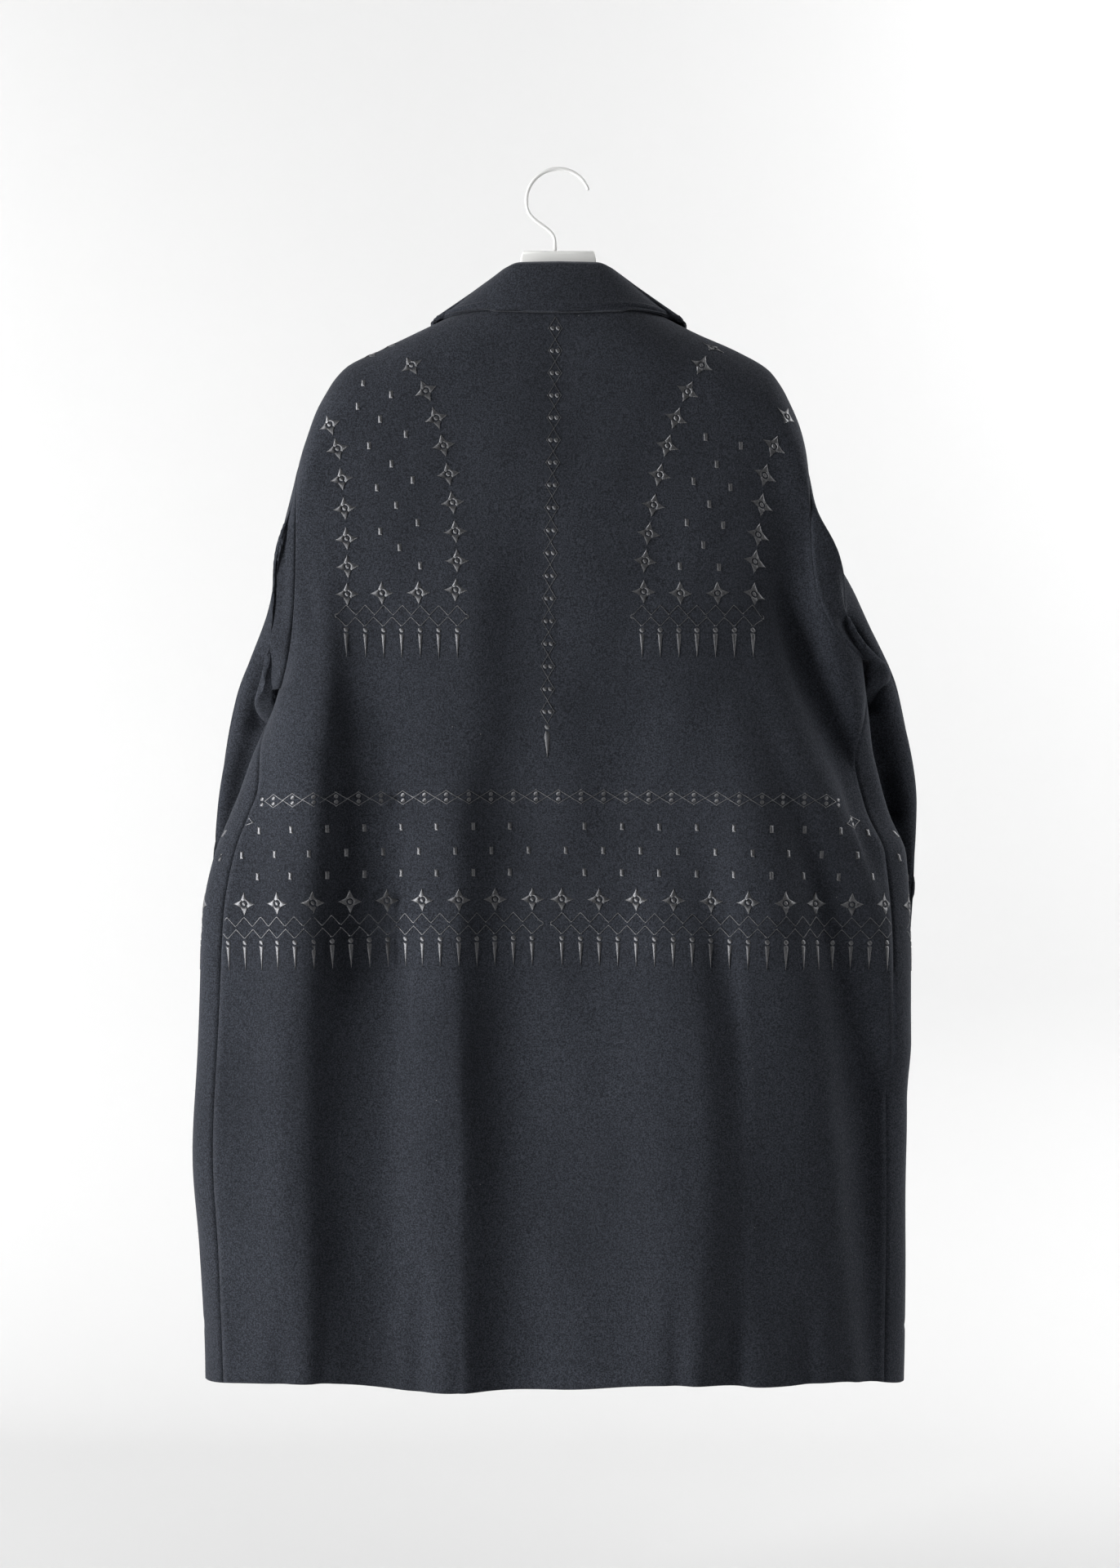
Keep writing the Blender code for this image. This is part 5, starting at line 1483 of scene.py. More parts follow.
def made_by_nodes(piece, tree, values):
    """The plain mesh that a node tree makes of a piece, in place of the piece."""
    modifier = piece.modifiers.new("nodes", "NODES")
    modifier.node_group = tree
    set_inputs(modifier, tree, values)
    mesh = evaluated_mesh(piece)
    name = piece.name
    remove(piece)
    mesh.name = name
    for key in ("off_cloth", "turn", "motif"):
        layer = mesh.attributes.get(key)
        if layer is not None:
            mesh.attributes.remove(layer)
    return link(name, mesh)


# Where the embroidery lies. Places are (across, drop) as seen from straight behind, in the plane
# of the hanger. A bar stands upright and a star's arm points along its column.
Place = namedtuple("Place", "across drop")
CENTRE_LINE = table(Place, ((0.0025, 0.1), (0.0026, 0.135), (0.0096, 0.494), (0.01, 0.75)))
LEFT_COLUMNS = (
    ((0.166, 0.163), (0.147, 0.154)),
    ((0.13, 0.172), (0.117, 0.194), (0.108, 0.218), (0.1015, 0.242),
     (0.097, 0.268), (0.0936, 0.293), (0.0914, 0.318), (0.0893, 0.344),
     (0.0907, 0.37)),
    ((0.202, 0.224), (0.1955, 0.2455), (0.1915, 0.272), (0.189, 0.298),
     (0.187, 0.324), (0.1858, 0.349)),
    ((0.1865, 0.3737), (0.1555, 0.372), (0.123, 0.3715)),
)
RIGHT_COLUMNS = (
    ((-0.1353, 0.1555), (-0.1267, 0.172), (-0.1138, 0.195), (-0.1037, 0.218),
     (-0.0958, 0.2426), (-0.0886, 0.2686), (-0.0842, 0.2945), (-0.0792, 0.32),
     (-0.0763, 0.344)),
    ((-0.2016, 0.2174), (-0.19, 0.2426), (-0.182, 0.269), (-0.179, 0.2945),
     (-0.1764, 0.321), (-0.1735, 0.344)),
    ((-0.0749, 0.371), (-0.1073, 0.372), (-0.14, 0.372), (-0.173, 0.373)),
)
LEFT_BARS = (
    (0.172, 0.1865), (0.148, 0.197), (0.177, 0.208), (0.157, 0.219),
    (0.135, 0.2325), (0.167, 0.242), (0.147, 0.258), (0.128, 0.273),
    (0.16, 0.279), (0.143, 0.2945), (0.124, 0.31), (0.157, 0.318),
    (0.14, 0.332), (0.1217, 0.348),
)
RIGHT_BARS = (
    (-0.1296, 0.2347), (-0.161, 0.242), (-0.1397, 0.2585), (-0.1195, 0.2736),
    (-0.152, 0.2786), (-0.133, 0.2938), (-0.113, 0.31), (-0.1454, 0.313),
    (-0.1274, 0.33), (-0.1073, 0.349), (-0.1418, 0.35),
)
PANEL_LOZENGES = 7
PANEL_LOZENGE_PITCH = 0.0163
LEFT_LOZENGES_FROM = 0.187
RIGHT_LOZENGES_FROM = -0.0735
PANEL_UPPER_DROP = 0.3873
PANEL_LOWER_DROP = 0.3978
PANEL_ENDS_DROP = 0.393
PANEL_DROPS_DROP = 0.4045

# The band round the waist, in the cloth's own lengths from the centre line
BandRow = namedtuple("BandRow", "motif drop first pitch turn reach")
BAND_REACH = 0.345
STAR_PITCH = 0.0325
CHAIN_PITCH = 0.0196
ZIGZAG_PERIOD = STAR_PITCH / 2.0
BAND = table(BandRow, (
    ("chain_diamond", 0.5515, CHAIN_PITCH / 2.0, CHAIN_PITCH, math.pi / 2.0, 0.262),
    ("dot_pair", 0.5515, 0.258, 1.0, math.pi / 2.0, BAND_REACH),
    ("chain_diamond", 0.5675, 0.2765, 1.0, math.radians(100.0), BAND_REACH),
    ("bar", 0.577, STAR_PITCH, STAR_PITCH, 0.0, BAND_REACH),
    ("bar", 0.598, STAR_PITCH / 2.0, STAR_PITCH, 0.0, BAND_REACH),
    ("bar", 0.617, STAR_PITCH, STAR_PITCH, 0.0, BAND_REACH),
    ("star", 0.6405, 0.0128, STAR_PITCH, 0.0, BAND_REACH),
    ("zigzag_upper", 0.656, 0.013, ZIGZAG_PERIOD, 0.0, BAND_REACH),
    ("zigzag_lower", 0.6665, 0.013, ZIGZAG_PERIOD, 0.0, BAND_REACH),
    ("zigzag_end", 0.66135, 0.013 - ZIGZAG_PERIOD / 2.0, 1.0, math.pi, BAND_REACH),
    ("drop_small", 0.674, 0.013, ZIGZAG_PERIOD, 0.0, BAND_REACH),
))
BAND_SAG = 0.0055
BAND_SAG_AT = 0.3
BAND_STOPS_BEFORE_FRONT = 0.05
CENTRE_CHAIN_TOP = 0.135
CENTRE_CHAIN_COUNT = 18
CENTRE_DROP_GAP = 0.0035

# The motifs' own sizes
THREAD_LIFT = 0.0002
STITCH_PITCH = 0.00045
FILL_STEP = 0.00015
SLANT = math.radians(40.0)
STAR_SLANTS = (SLANT, math.radians(25.0), -SLANT, math.radians(60.0))
STITCH_ARCH = ((0.0, 0.0), (0.2, 0.85), (0.8, 0.85), (1.0, 0.0))
STITCH_SUNK = 0.0003
STITCH_SIDE = 0.88
THREAD_HEIGHT = 0.00055
LINE_HEIGHT = THREAD_HEIGHT * 0.8
STITCH_OVERLAP = 1.15
LINE_STITCH = 0.0014
LINE_WIDTH = 0.00045
LINE_OVERLAP = 1.05
LINE_SLANT = 0.16
LINE_LOOKS_AHEAD = 1e-4
STAR_REACH = 0.0103
STAR_ROOT = 0.0033
STAR_HOLLOW = 1.15
STAR_RING = 0.003
STAR_FILL = 0.75
BAR_FILL = 0.62
DROP_FILL = 0.55
DROP_TOP_FLAT = 0.04
ZIGZAG_STATIONS = 41
ZIGZAG_END_STATIONS = 13
ZIGZAG_END_BULGE = 0.45
STAR_DOT = 0.0018
CHAIN_WIDTH = 0.0117
DOT_RADIUS = 0.0019
DOT_SPACING = 0.0048
BAR_WIDTH = 0.0032
BAR_HEIGHT = 0.0064
DROP_DOT_RADIUS = 0.0021
DROP_GAP = 0.0009
DROP_LENGTH = 0.0205
DROP_WIDTH = 0.0042
DROP_ROUND = 0.02
LONG_DOT_RADIUS = 0.0022
LONG_DROP_GAP = 0.0012
LONG_DROP_LENGTH = 0.0232
LONG_DROP_WIDTH = 0.007
LONG_DROP_ROUND = 0.25
ZIGZAG_UPPER_RISE = 0.0074
ZIGZAG_LOWER_RISE = 0.007
ZIGZAG_SHARPNESS = 0.95
ZIGZAG_GAP = 0.0033


def centre_across(drop):
    return float(read(CENTRE_LINE, "across", drop))


def seen_layout(columns, bars, lozenges_from, values, tree, facing):
    """The motifs of one shoulder panel, by where they are seen."""
    layout = []

    def put(motif, across, drop, turn=0.0):
        flat = flat_place(values, tree, across, drop, facing)
        if flat is not None:
            layout.append((motif, *flat, turn))

    for line in columns:
        flats = [flat_place(values, tree, *place, facing) for place in line]
        flats = [flat for flat in flats if flat is not None]
        for number, flat in enumerate(flats):
            before = flats[max(number - 1, 0)]
            after = flats[min(number + 1, len(flats) - 1)]
            turn = math.atan2(after[0] - before[0], before[1] - after[1])
            # A star looks the same after a quarter turn
            turn = (turn + math.pi / 4.0) % (math.pi / 2.0) - math.pi / 4.0
            layout.append(("star", *flat, turn))
    for place in bars:
        put("bar", *place)
    for number in range(PANEL_LOZENGES):
        across = lozenges_from - PANEL_LOZENGE_PITCH * number
        put("zigzag_upper", across, PANEL_UPPER_DROP)
        put("zigzag_lower", across, PANEL_LOWER_DROP)
        put("drop_small", across, PANEL_DROPS_DROP)
    for number, turn in ((-0.5, math.pi), (PANEL_LOZENGES - 0.5, 0.0)):
        turn = turn if facing > 0.0 else math.pi - turn
        put("zigzag_end", lozenges_from - PANEL_LOZENGE_PITCH * number, PANEL_ENDS_DROP, turn)
    return layout


def band_layout(facing):
    """The motifs of the waist band, in the cloth's own lengths, on both sides of the centre."""
    layout = []
    for row in BAND:
        centre = -centre_across(row.drop) if facing > 0.0 else 0.0
        for way in (-1.0, 1.0):
            out = row.first
            turn = row.turn if way > 0.0 else -row.turn
            turn = 0.0 if row.motif == "zigzag_end" and way < 0.0 else turn
            while out < row.reach:
                drop = row.drop + BAND_SAG * (out / BAND_SAG_AT) ** 2
                if facing > 0.0 or out > BAND_STOPS_BEFORE_FRONT:
                    layout.append((row.motif, centre + way * out, -drop, turn))
                out += row.pitch
    return layout


def centre_chain_layout():
    layout = []
    for number in range(CENTRE_CHAIN_COUNT):
        drop = CENTRE_CHAIN_TOP + CHAIN_PITCH * (number + 0.5)
        layout.append(("chain_diamond", -centre_across(drop), -drop, 0.0))
    drop = CENTRE_CHAIN_TOP + CHAIN_PITCH * CENTRE_CHAIN_COUNT + CENTRE_DROP_GAP
    layout.append(("drop_long", -centre_across(drop), -drop, 0.0))
    return layout


def embroidery_piece(name, layout, numbers, collection, cloth, tree):
    """One piece of embroidery: every motif of a layout, wrapped on its cloth."""
    motifs, across, up, turns = zip(*layout)
    points = np.stack((across, up, np.full(len(up), -GROUND_SHIFT)), axis=1) + GROUND_SHIFT
    source = points_object(name, points, {
        "motif": ("INT", "value", [numbers[motif] for motif in motifs]),
        "turn": ("FLOAT", "value", turns),
    })
    values = {"Motifs": collection, "Cloth": cloth, "Lift": THREAD_LIFT, "Thread": material("thread")}
    return made_by_nodes(source, tree, values)


def tinted(colour, times, plus=0.0):
    return tuple(value * times + plus for value in colour)


def own_place(tree):
    return add_node(tree, "ShaderNodeTexCoord")["Object"]


def noise(tree, place, scale, detail, roughness=0.5):
    return add_node(tree, "ShaderNodeTexNoise", {
        "Vector": place, "Scale": scale, "Detail": detail, "Roughness": roughness,
    })["Fac"]


def mixed(tree, share, first, second):
    """A share of the way from one colour to another."""
    colours = {"A": first, "B": second}
    for name, value in colours.items():
        if not isinstance(value, bpy.types.NodeSocket):
            colours[name] = (*value, 1.0)
    return add_node(tree, "ShaderNodeMix", {"Factor": share, **colours}, data_type="RGBA")["Result"]


def spread(tree, value, low, high, to_low=0.0, to_high=1.0):
    return add_node(tree, "ShaderNodeMapRange", {
        "Value": value, "From Min": low, "From Max": high, "To Min": to_low, "To Max": to_high,
    }, interpolation_type="SMOOTHSTEP")["Result"]


def bumped(tree, *bumps):
    """The normal after a chain of bumps, each of (height, distance, strength)."""
    before = {}
    for height, distance, strength in bumps:
        inputs = {"Height": height, "Distance": distance, "Strength": strength, **before}
        before = {"Normal": add_node(tree, "ShaderNodeBump", inputs)["Normal"]}
    return before["Normal"]


LINT_COLOUR = (0.16, 0.16, 0.16)


def felted_wool(tree, colour):
    """Black felted wool: matted fibres, a soft nap with a sheen, and a few pale specks of lint."""
    place = own_place(tree)
    matted = noise(tree, place, 820.0, 4.0, 0.65)
    clumps = noise(tree, place, 330.0, 3.0, 0.6)
    clouds = noise(tree, place, 9.0, 2.0)
    pale = tinted(colour, 1.85, 0.004)
    deep = tinted(colour, 0.5)
    tone = mixed(tree, spread(tree, matted, 0.38, 0.7), deep, pale)
    tone = mixed(tree, spread(tree, clumps, 0.45, 0.72, 0.0, 0.3), tone, pale)
    tone = mixed(tree, spread(tree, clouds, 0.35, 0.7, 0.0, 0.22), tone, deep)
    specks = add_node(tree, "ShaderNodeTexVoronoi", {"Vector": place, "Scale": 85.0})
    near = spread(tree, specks["Distance"], 0.045, 0.02)
    few = spread(tree, specks["Color"], 0.72, 0.8)
    lint = add_node(tree, "ShaderNodeMath", {0: near, 1: few}, operation="MULTIPLY")["Value"]
    return {
        "Base Color": mixed(tree, lint, tone, LINT_COLOUR),
        "Roughness": 0.95,
        "Specular IOR Level": 0.15,
        "Sheen Weight": 0.1,
        "Sheen Roughness": 0.45,
        "Sheen Tint": (0.6, 0.62, 0.68, 1.0),
        "Normal": bumped(tree, (clumps, 0.0006, 0.45), (matted, 0.00045, 0.75)),
    }


def loose_wool(tree, colour):
    """Single fibres of the wool, a little paler and shinier than the matted cloth."""
    own = add_node(tree, "ShaderNodeNewGeometry")["Random Per Island"]
    return {
        "Base Color": mixed(tree, spread(tree, own, 0.75, 1.0), colour, tinted(colour, 3.2, 0.02)),
        "Roughness": spread(tree, own, 0.0, 1.0, 0.55, 0.75),
        "Specular IOR Level": 0.4,
    }


def satin_thread(tree, colour):
    """Black twisted thread laid in satin stitch, each stitch with its own slight tone."""
    own = add_node(tree, "ShaderNodeNewGeometry")["Random Per Island"]
    twist = noise(tree, own_place(tree), 1500.0, 2.0)
    return {
        "Base Color": mixed(tree, spread(tree, own, 0.0, 1.0), colour, tinted(colour, 1.6)),
        "Roughness": spread(tree, twist, 0.3, 0.7, 0.42, 0.58),
        "Metallic": 0.9,
        "Specular IOR Level": 1.0,
        "Coat Weight": 0.7,
        "Coat Roughness": 0.42,
        "Normal": bumped(tree, (twist, 0.0002, 0.35)),
    }


def moulded_plastic(tree, colour):
    """Moulded plastic with a faint grain and slight unevenness of gloss."""
    place = own_place(tree)
    grain = noise(tree, place, 900.0, 2.0)
    clouds = noise(tree, place, 22.0, 3.0)
    patches = spread(tree, clouds, 0.35, 0.75, 0.0, 0.5)
    return {
        "Base Color": mixed(tree, patches, colour, tinted(colour, 0.9)),
        "Roughness": spread(tree, clouds, 0.3, 0.7, 0.38, 0.52),
        "Normal": bumped(tree, (grain, 0.0001, 0.25)),
    }


def lacquered_wire(tree, colour):
    """White lacquer on steel wire, a little worn at random where a rail rubs it."""
    wear = noise(tree, own_place(tree), 240.0, 4.0, 0.7)
    worn = spread(tree, wear, 0.66, 0.8, 0.0, 0.8)
    return {
        "Base Color": mixed(tree, worn, colour, tinted(colour, 0.55)),
        "Roughness": spread(tree, wear, 0.3, 0.7, 0.26, 0.42),
        "Coat Weight": 0.25,
        "Normal": bumped(tree, (wear, 0.00015, 0.3)),
    }


def dark_horn(tree, colour):
    """Dark polished horn with faint streaks, for the buttons."""
    stretch = add_node(tree, "ShaderNodeMapping", {"Vector": own_place(tree), "Scale": (1.0, 1.0, 5.0)})
    streaks = noise(tree, stretch["Vector"], 160.0, 4.0, 0.6)
    warm = (colour[0] * 3.0 + 0.01, colour[1] * 2.2 + 0.006, colour[2] * 1.6 + 0.003)
    return {
        "Base Color": mixed(tree, spread(tree, streaks, 0.5, 0.8, 0.0, 0.7), colour, warm),
        "Roughness": spread(tree, streaks, 0.3, 0.7, 0.22, 0.36),
        "Normal": bumped(tree, (streaks, 0.0001, 0.2)),
    }


def pale_floor(tree, colour):
    """Plain paint with very faint clouds."""
    clouds = noise(tree, own_place(tree), 1.5, 2.0)
    return {"Base Color": mixed(tree, clouds, colour, tinted(colour, 0.97)), "Roughness": 0.9}


MATERIALS = {}


def material(kind):
    """A finish of the coat, made once from the scene's colours."""
    if kind not in MATERIALS:
        colours = bpy.context.scene.coat_colours
        maker, colour = {
            "wool": (felted_wool, colours.wool), "thread": (satin_thread, colours.thread),
            "plastic": (moulded_plastic, colours.hanger), "wire": (lacquered_wire, colours.hook),
            "horn": (dark_horn, colours.buttons), "floor": (pale_floor, colours.floor),
            "fibre": (loose_wool, colours.wool),
        }[kind]
        made = bpy.data.materials.new(maker.__name__)
        made.use_nodes = True
        tree = made.node_tree
        connect(tree, tree.nodes["Principled BSDF"], maker(tree, tuple(colour)))
        MATERIALS[kind] = made
    return MATERIALS[kind]


def finish_piece(piece, slot, *nodes):
    """A finished piece rides on the coat's one body and stands for the solids it dresses."""
    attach(piece, "root")
    if nodes:
        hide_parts(*nodes)
    return piece


# The cloth laid flat: the longest line across and down each piece, without seam allowances. 'flip'
# says which way its grid faces, and the free edges are those that no seam holds.
Cut = namedtuple("Cut", "width length flip free_edges")
CUTS = {
    "back": Cut(0.62, 0.97, 1, ("bottom",)),
    "front_left": Cut(0.42, 0.97, -1, ("bottom", "last")),
    "front_right": Cut(0.41, 0.96, 1, ("bottom", "last")),
    "sleeve_left": Cut(0.44, 0.53, 1, ("bottom",)),
    "sleeve_right": Cut(0.46, 0.55, -1, ("bottom",)),
    "collar": Cut(0.53, 0.14, -1, ("bottom", "first", "last")),
}


def dress(name):
    """Make a cloth piece in place of its plain solid."""
    closed = name.startswith("sleeve")
    grid = cloth_grid(name)
    cut = CUTS[name]
    piece = cloth_piece(name + "_cloth", grid, closed, cut.flip, cut.free_edges, material("wool"))
    finish_piece(piece, "black_wool", name)


# Buttons: a profile from the middle of the back over the rim to the middle of the front, as shares
# of the radius and of the thickness
BUTTON_RADIUS = 0.012
BUTTON_PROFILE = (
    (0.0, 0.3), (0.4, 0.31), (0.62, 0.38), (0.72, 0.62), (0.8, 0.92), (0.88, 1.0), (0.95, 0.93),
    (0.995, 0.66), (1.0, 0.45), (0.97, 0.22), (0.86, 0.06), (0.6, 0.0), (0.0, 0.0),
)
BUTTON_SHARP = math.radians(38.0)
BUTTON_TURNS = 64
BUTTON_HOLE_RADIUS = 0.0011
BUTTON_HOLE_SIDES = 16
BUTTON_HOLE_SPACING = 0.0042
BUTTON_THREAD_RADIUS = 0.00055
STRAND_RADIUS = BUTTON_THREAD_RADIUS * 0.62
STRAND_STEP = BUTTON_THREAD_RADIUS * 1.2
STRAND_SIDES = 6
STRANDS_SUNK = 0.7
SIDE_STRAND_RISE = 0.9
MIDDLE_STRAND_RISE = 1.3
STRAND_BENDS_AT = 0.7
STRAND_CROWN = 0.0001
HOLE_LENGTH = 0.027
HOLE_BAR = 0.0022
HOLE_BAR_REACH = 0.0011
HOLE_SLIT = 0.0002
HOLE_STITCH_HEIGHT = THREAD_HEIGHT * 1.2
HOLE_SEEN_FROM = -0.5
HOLE_BEYOND_BUTTON = 0.004
STITCH_STANDS_OFF = 0.0001
SEWING_THREAD = 0.00075


def button_piece(name, centre, thickness):
    """A turned button with a raised rim, a dished middle and four drilled holes."""
    rings = []
    points = []
    for share, height in BUTTON_PROFILE:
        turns = 1 if share == 0.0 else BUTTON_TURNS
        rings.append([len(points) + turn for turn in range(turns)])
        for turn in range(turns):
            angle = 2.0 * math.pi * turn / turns
            radius = share * BUTTON_RADIUS
            points.append((radius * math.cos(angle), radius * math.sin(angle), height * thickness))
    faces = []
    for first, second in zip(rings, rings[1:]):
        for turn in range(BUTTON_TURNS):
            following = (turn + 1) % BUTTON_TURNS
            corners = (first[turn % len(first)], first[following % len(first)],
                       second[following % len(second)], second[turn % len(second)])
            faces.append(list(dict.fromkeys(corners)))
    blank = solid_piece(name, points, faces)
    drill = bmesh.new()
    for across in (-0.5, 0.5):
        for up in (-0.5, 0.5):
            place = Vector((across * BUTTON_HOLE_SPACING, up * BUTTON_HOLE_SPACING, 0.0))
            bmesh.ops.create_cone(
                drill, cap_ends=True, segments=BUTTON_HOLE_SIDES, radius1=BUTTON_HOLE_RADIUS,
                radius2=BUTTON_HOLE_RADIUS, depth=thickness * 4.0, matrix=Matrix.Translation(place),
            )
    drill_mesh = bpy.data.meshes.new("drill")
    drill.to_mesh(drill_mesh)
    drill.free()
    tool = link("drill", drill_mesh)
    cut = blank.modifiers.new("holes", "BOOLEAN")
    cut.operation = "DIFFERENCE"
    cut.object = tool
    cut.solver = "EXACT"
    mesh = evaluated_mesh(blank)
    remove(blank)
    remove(tool)
    turn = Matrix.Rotation(math.radians(90.0), 4, "X")
    mesh.transform(Matrix.Translation((centre[0], centre[1] + thickness / 2.0, centre[2])) @ turn)
    mesh.shade_smooth()
    mesh.set_sharp_from_angle(angle=BUTTON_SHARP)
    mesh.materials.clear()
    mesh.materials.append(material("horn"))
    return link(name, mesh)


def tube_points(line, radius, sides, aside=None):
    """Rings of points round a line that runs level, or that lies in a plane square to 'aside'."""
    line = np.asarray(line, dtype=float)
    ahead = unit(np.gradient(line, axis=0))
    aside = unit(np.cross(ahead, (0.0, 0.0, 1.0))) if aside is None else np.broadcast_to(aside, ahead.shape)
    over = np.cross(ahead, aside)
    angles = np.arange(sides) * 2.0 * math.pi / sides
    ring = aside[:, None] * np.cos(angles)[None, :, None] + over[:, None] * np.sin(angles)[None, :, None]
    return line[:, None] + ring * np.broadcast_to(radius, (len(line),))[:, None, None]


def tube_faces(rings, sides):
    return grid_quads(rings, sides, True)[..., [0, 3, 2, 1]].reshape(-1, 4)


def capped_tube(name, rings, finish, sharp=math.pi):
    """A closed piece over rings of points, with a flat face at each end."""
    rows, sides = rings.shape[:2]
    faces = tube_faces(rows, sides).tolist()
    faces.append(list(range(sides))[::-1])
    faces.append([(rows - 1) * sides + place for place in range(sides)])
    return solid_piece(name, rings.reshape(-1, 3), faces, finish, sharp)


def button_thread(name, centre, front, back):
    """Two bars of sewing thread through the holes, each of three strands that run down to the button's back.
    """
    rings = []
    faces = []
    half = BUTTON_HOLE_SPACING / 2.0
    top = front + (back - front) * STRANDS_SUNK
    for up in (-half, half):
        for strand in (-0.5, 0.0, 0.5):
            height = centre[2] + up + strand * STRAND_STEP
            rise = top - BUTTON_THREAD_RADIUS * (SIDE_STRAND_RISE if strand else MIDDLE_STRAND_RISE)
            line = [(centre[0] + across, depth, height) for across, depth in (
                (-half, back), (-half, top), (-half * STRAND_BENDS_AT, rise), (0.0, rise - STRAND_CROWN),
                (half * STRAND_BENDS_AT, rise), (half, top), (half, back),
            )]
            faces.append(tube_faces(len(line), STRAND_SIDES) + len(rings) * STRAND_SIDES)
            rings += list(tube_points(line, STRAND_RADIUS, STRAND_SIDES))
    return mesh_piece(name, np.concatenate(rings), np.concatenate(faces), material("thread"))


def buttonhole(name, centre, cloth):
    """A worked buttonhole: close stitches round a slit, with a bar at each end, on the right front."""
    stitches = []
    half = HOLE_LENGTH / 2.0
    for across in np.arange(-half, half, STITCH_PITCH):
        for way in (1.0, -1.0):
            stitches.append((across, way * HOLE_SLIT, across, way * HOLE_BAR))
    for height in np.arange(-HOLE_BAR, HOLE_BAR, STITCH_PITCH):
        for end in (-half, half):
            stitches.append((end - HOLE_BAR_REACH, height, end + HOLE_BAR_REACH, height))
    stitches = sized(np.array(stitches), STITCH_PITCH * STITCH_OVERLAP, HOLE_STITCH_HEIGHT)
    flat = stitches_mesh(name, stitches)
    for point in flat.vertices:
        place = Vector((centre[0] - HOLE_BEYOND_BUTTON + point.co.x, HOLE_SEEN_FROM, centre[2] + point.co.y))
        hit, normal, _, _ = cloth.ray_cast(place, Vector((0.0, 1.0, 0.0)))
        if hit is not None:
            point.co = hit + normal * math.copysign(point.co.z + THREAD_LIFT, -normal.y)
    flat.materials.append(material("thread"))
    return link(name, flat)


def hanger_body_piece(name, finish):
    """The hanger's two arms and its flat neck, as one run of crowned sections."""
    tip_begins = HANGER_TIP_ACROSS - HANGER_TIP_ROUND
    neck_ends = HANGER_NECK_ACROSS + HANGER_NECK_FILLET
    arm = [
        *(HANGER_TIP_ACROSS - distance for distance in HANGER_TIP_STATIONS),
        *np.linspace(
            HANGER_TIP_ACROSS - HANGER_ARM_FROM_TIP, neck_ends + HANGER_ARM_FROM_NECK, HANGER_ARM_STATIONS,
        ),
        *np.linspace(neck_ends, HANGER_NECK_ACROSS, HANGER_FILLET_STATIONS), HANGER_NECK_STATION,
    ]
    rings = []
    for side, distances in ((LEFT, arm), (RIGHT, arm[::-1])):
        for distance in distances:
            inside = NECK_HALF_WIDTH - distance
            line = float(ridge_drop(side, max(distance, NECK_HALF_WIDTH)))
            line = line - HANGER_ARM_SLOPE * max(inside, 0.0)
            lowered = HANGER_NECK_LOWERED * float(smooth_step(inside / HANGER_LOWERED_OVER + 1.0))
            top = line + WALL + HANGER_UNDER_CLOTH + lowered
            part = distance / HANGER_TIP_ACROSS
            bottom = top + HANGER_ARM_HEIGHT + (HANGER_TIP_HEIGHT - HANGER_ARM_HEIGHT) * part
            tip = max(0.0, (distance - tip_begins) / HANGER_TIP_ROUND)
            top = top + HANGER_TIP_TAPER * tip
            bottom = bottom - HANGER_TIP_TAPER * tip
            half = HANGER_HALF_THICKNESS - HANGER_TIP_THINNER * tip
            neck = float(smooth_step((neck_ends - distance) / HANGER_NECK_FILLET))
            top = top + (HANGER_NECK_DROP - top) * neck
            rings.append(hanger_section(side.sign * distance, top, bottom, half))
    return capped_tube(name, np.array(rings), finish, HANGER_SHARP)


def hanger_section(across, top, bottom, half):
    """A rounded upright section: crowned on top, flat sides, rounded underneath."""
    points = []
    for angle in np.linspace(0.0, math.pi, HANGER_TOP_POINTS):
        rise = math.sin(angle) ** HANGER_CROWN_POWER
        points.append((across, half * math.cos(angle), -(top + (HANGER_EDGE + HANGER_CROWN) * (1.0 - rise))))
    for angle in np.linspace(0.0, math.pi, HANGER_UNDER_POINTS):
        points.append((across, -half * math.cos(angle), -(bottom - HANGER_EDGE * (1.0 - math.sin(angle)))))
    return points


def hook_piece(name, finish):
    """Round wire: a hook open on one side, turned back over its stem with a double bend."""
    centre_drop = HOOK_RADIUS - WIRE_RADIUS
    angles = np.radians(np.linspace(HOOK_OPEN_ANGLE, HOOK_TURNS_BACK_AT, HOOK_STATIONS))
    bend = np.stack((
        -HOOK_RADIUS * np.cos(angles), np.zeros(len(angles)), HOOK_RADIUS * np.sin(angles) - centre_drop,
    ), axis=1)
    last = math.radians(HOOK_TURNS_BACK_AT)
    heading = np.array((math.sin(last), 0.0, math.cos(last)))
    end = np.array((STEM_ACROSS, 0.0, STEM_LENGTH - HANGER_NECK_DROP))
    controls = (bend[-1], bend[-1] + heading * BEND_REACH, end + np.array((0.0, 0.0, BEND_REACH)), end)
    part = np.linspace(0.0, 1.0, BEND_STATIONS)[1:, None]
    rest = 1.0 - part
    neck = rest ** 3 * controls[0] + 3.0 * rest ** 2 * part * controls[1]
    neck = neck + 3.0 * rest * part ** 2 * controls[2] + part ** 3 * controls[3]
    foot = np.array(((STEM_ACROSS, 0.0, HOOK_SEAT - HANGER_NECK_DROP),))
    line = np.concatenate((bend, neck, foot))
    tip = (bend[0] - bend[1]) / np.linalg.norm(bend[0] - bend[1])
    line = np.concatenate(([bend[0] + tip * WIRE_RADIUS * along for along, _ in WIRE_TIP], line))
    radius = np.full(len(line), WIRE_RADIUS)
    radius[:len(WIRE_TIP)] *= [share for _, share in WIRE_TIP]
    return capped_tube(name, tube_points(line, radius, WIRE_SIDES, (0.0, 1.0, 0.0)), finish)


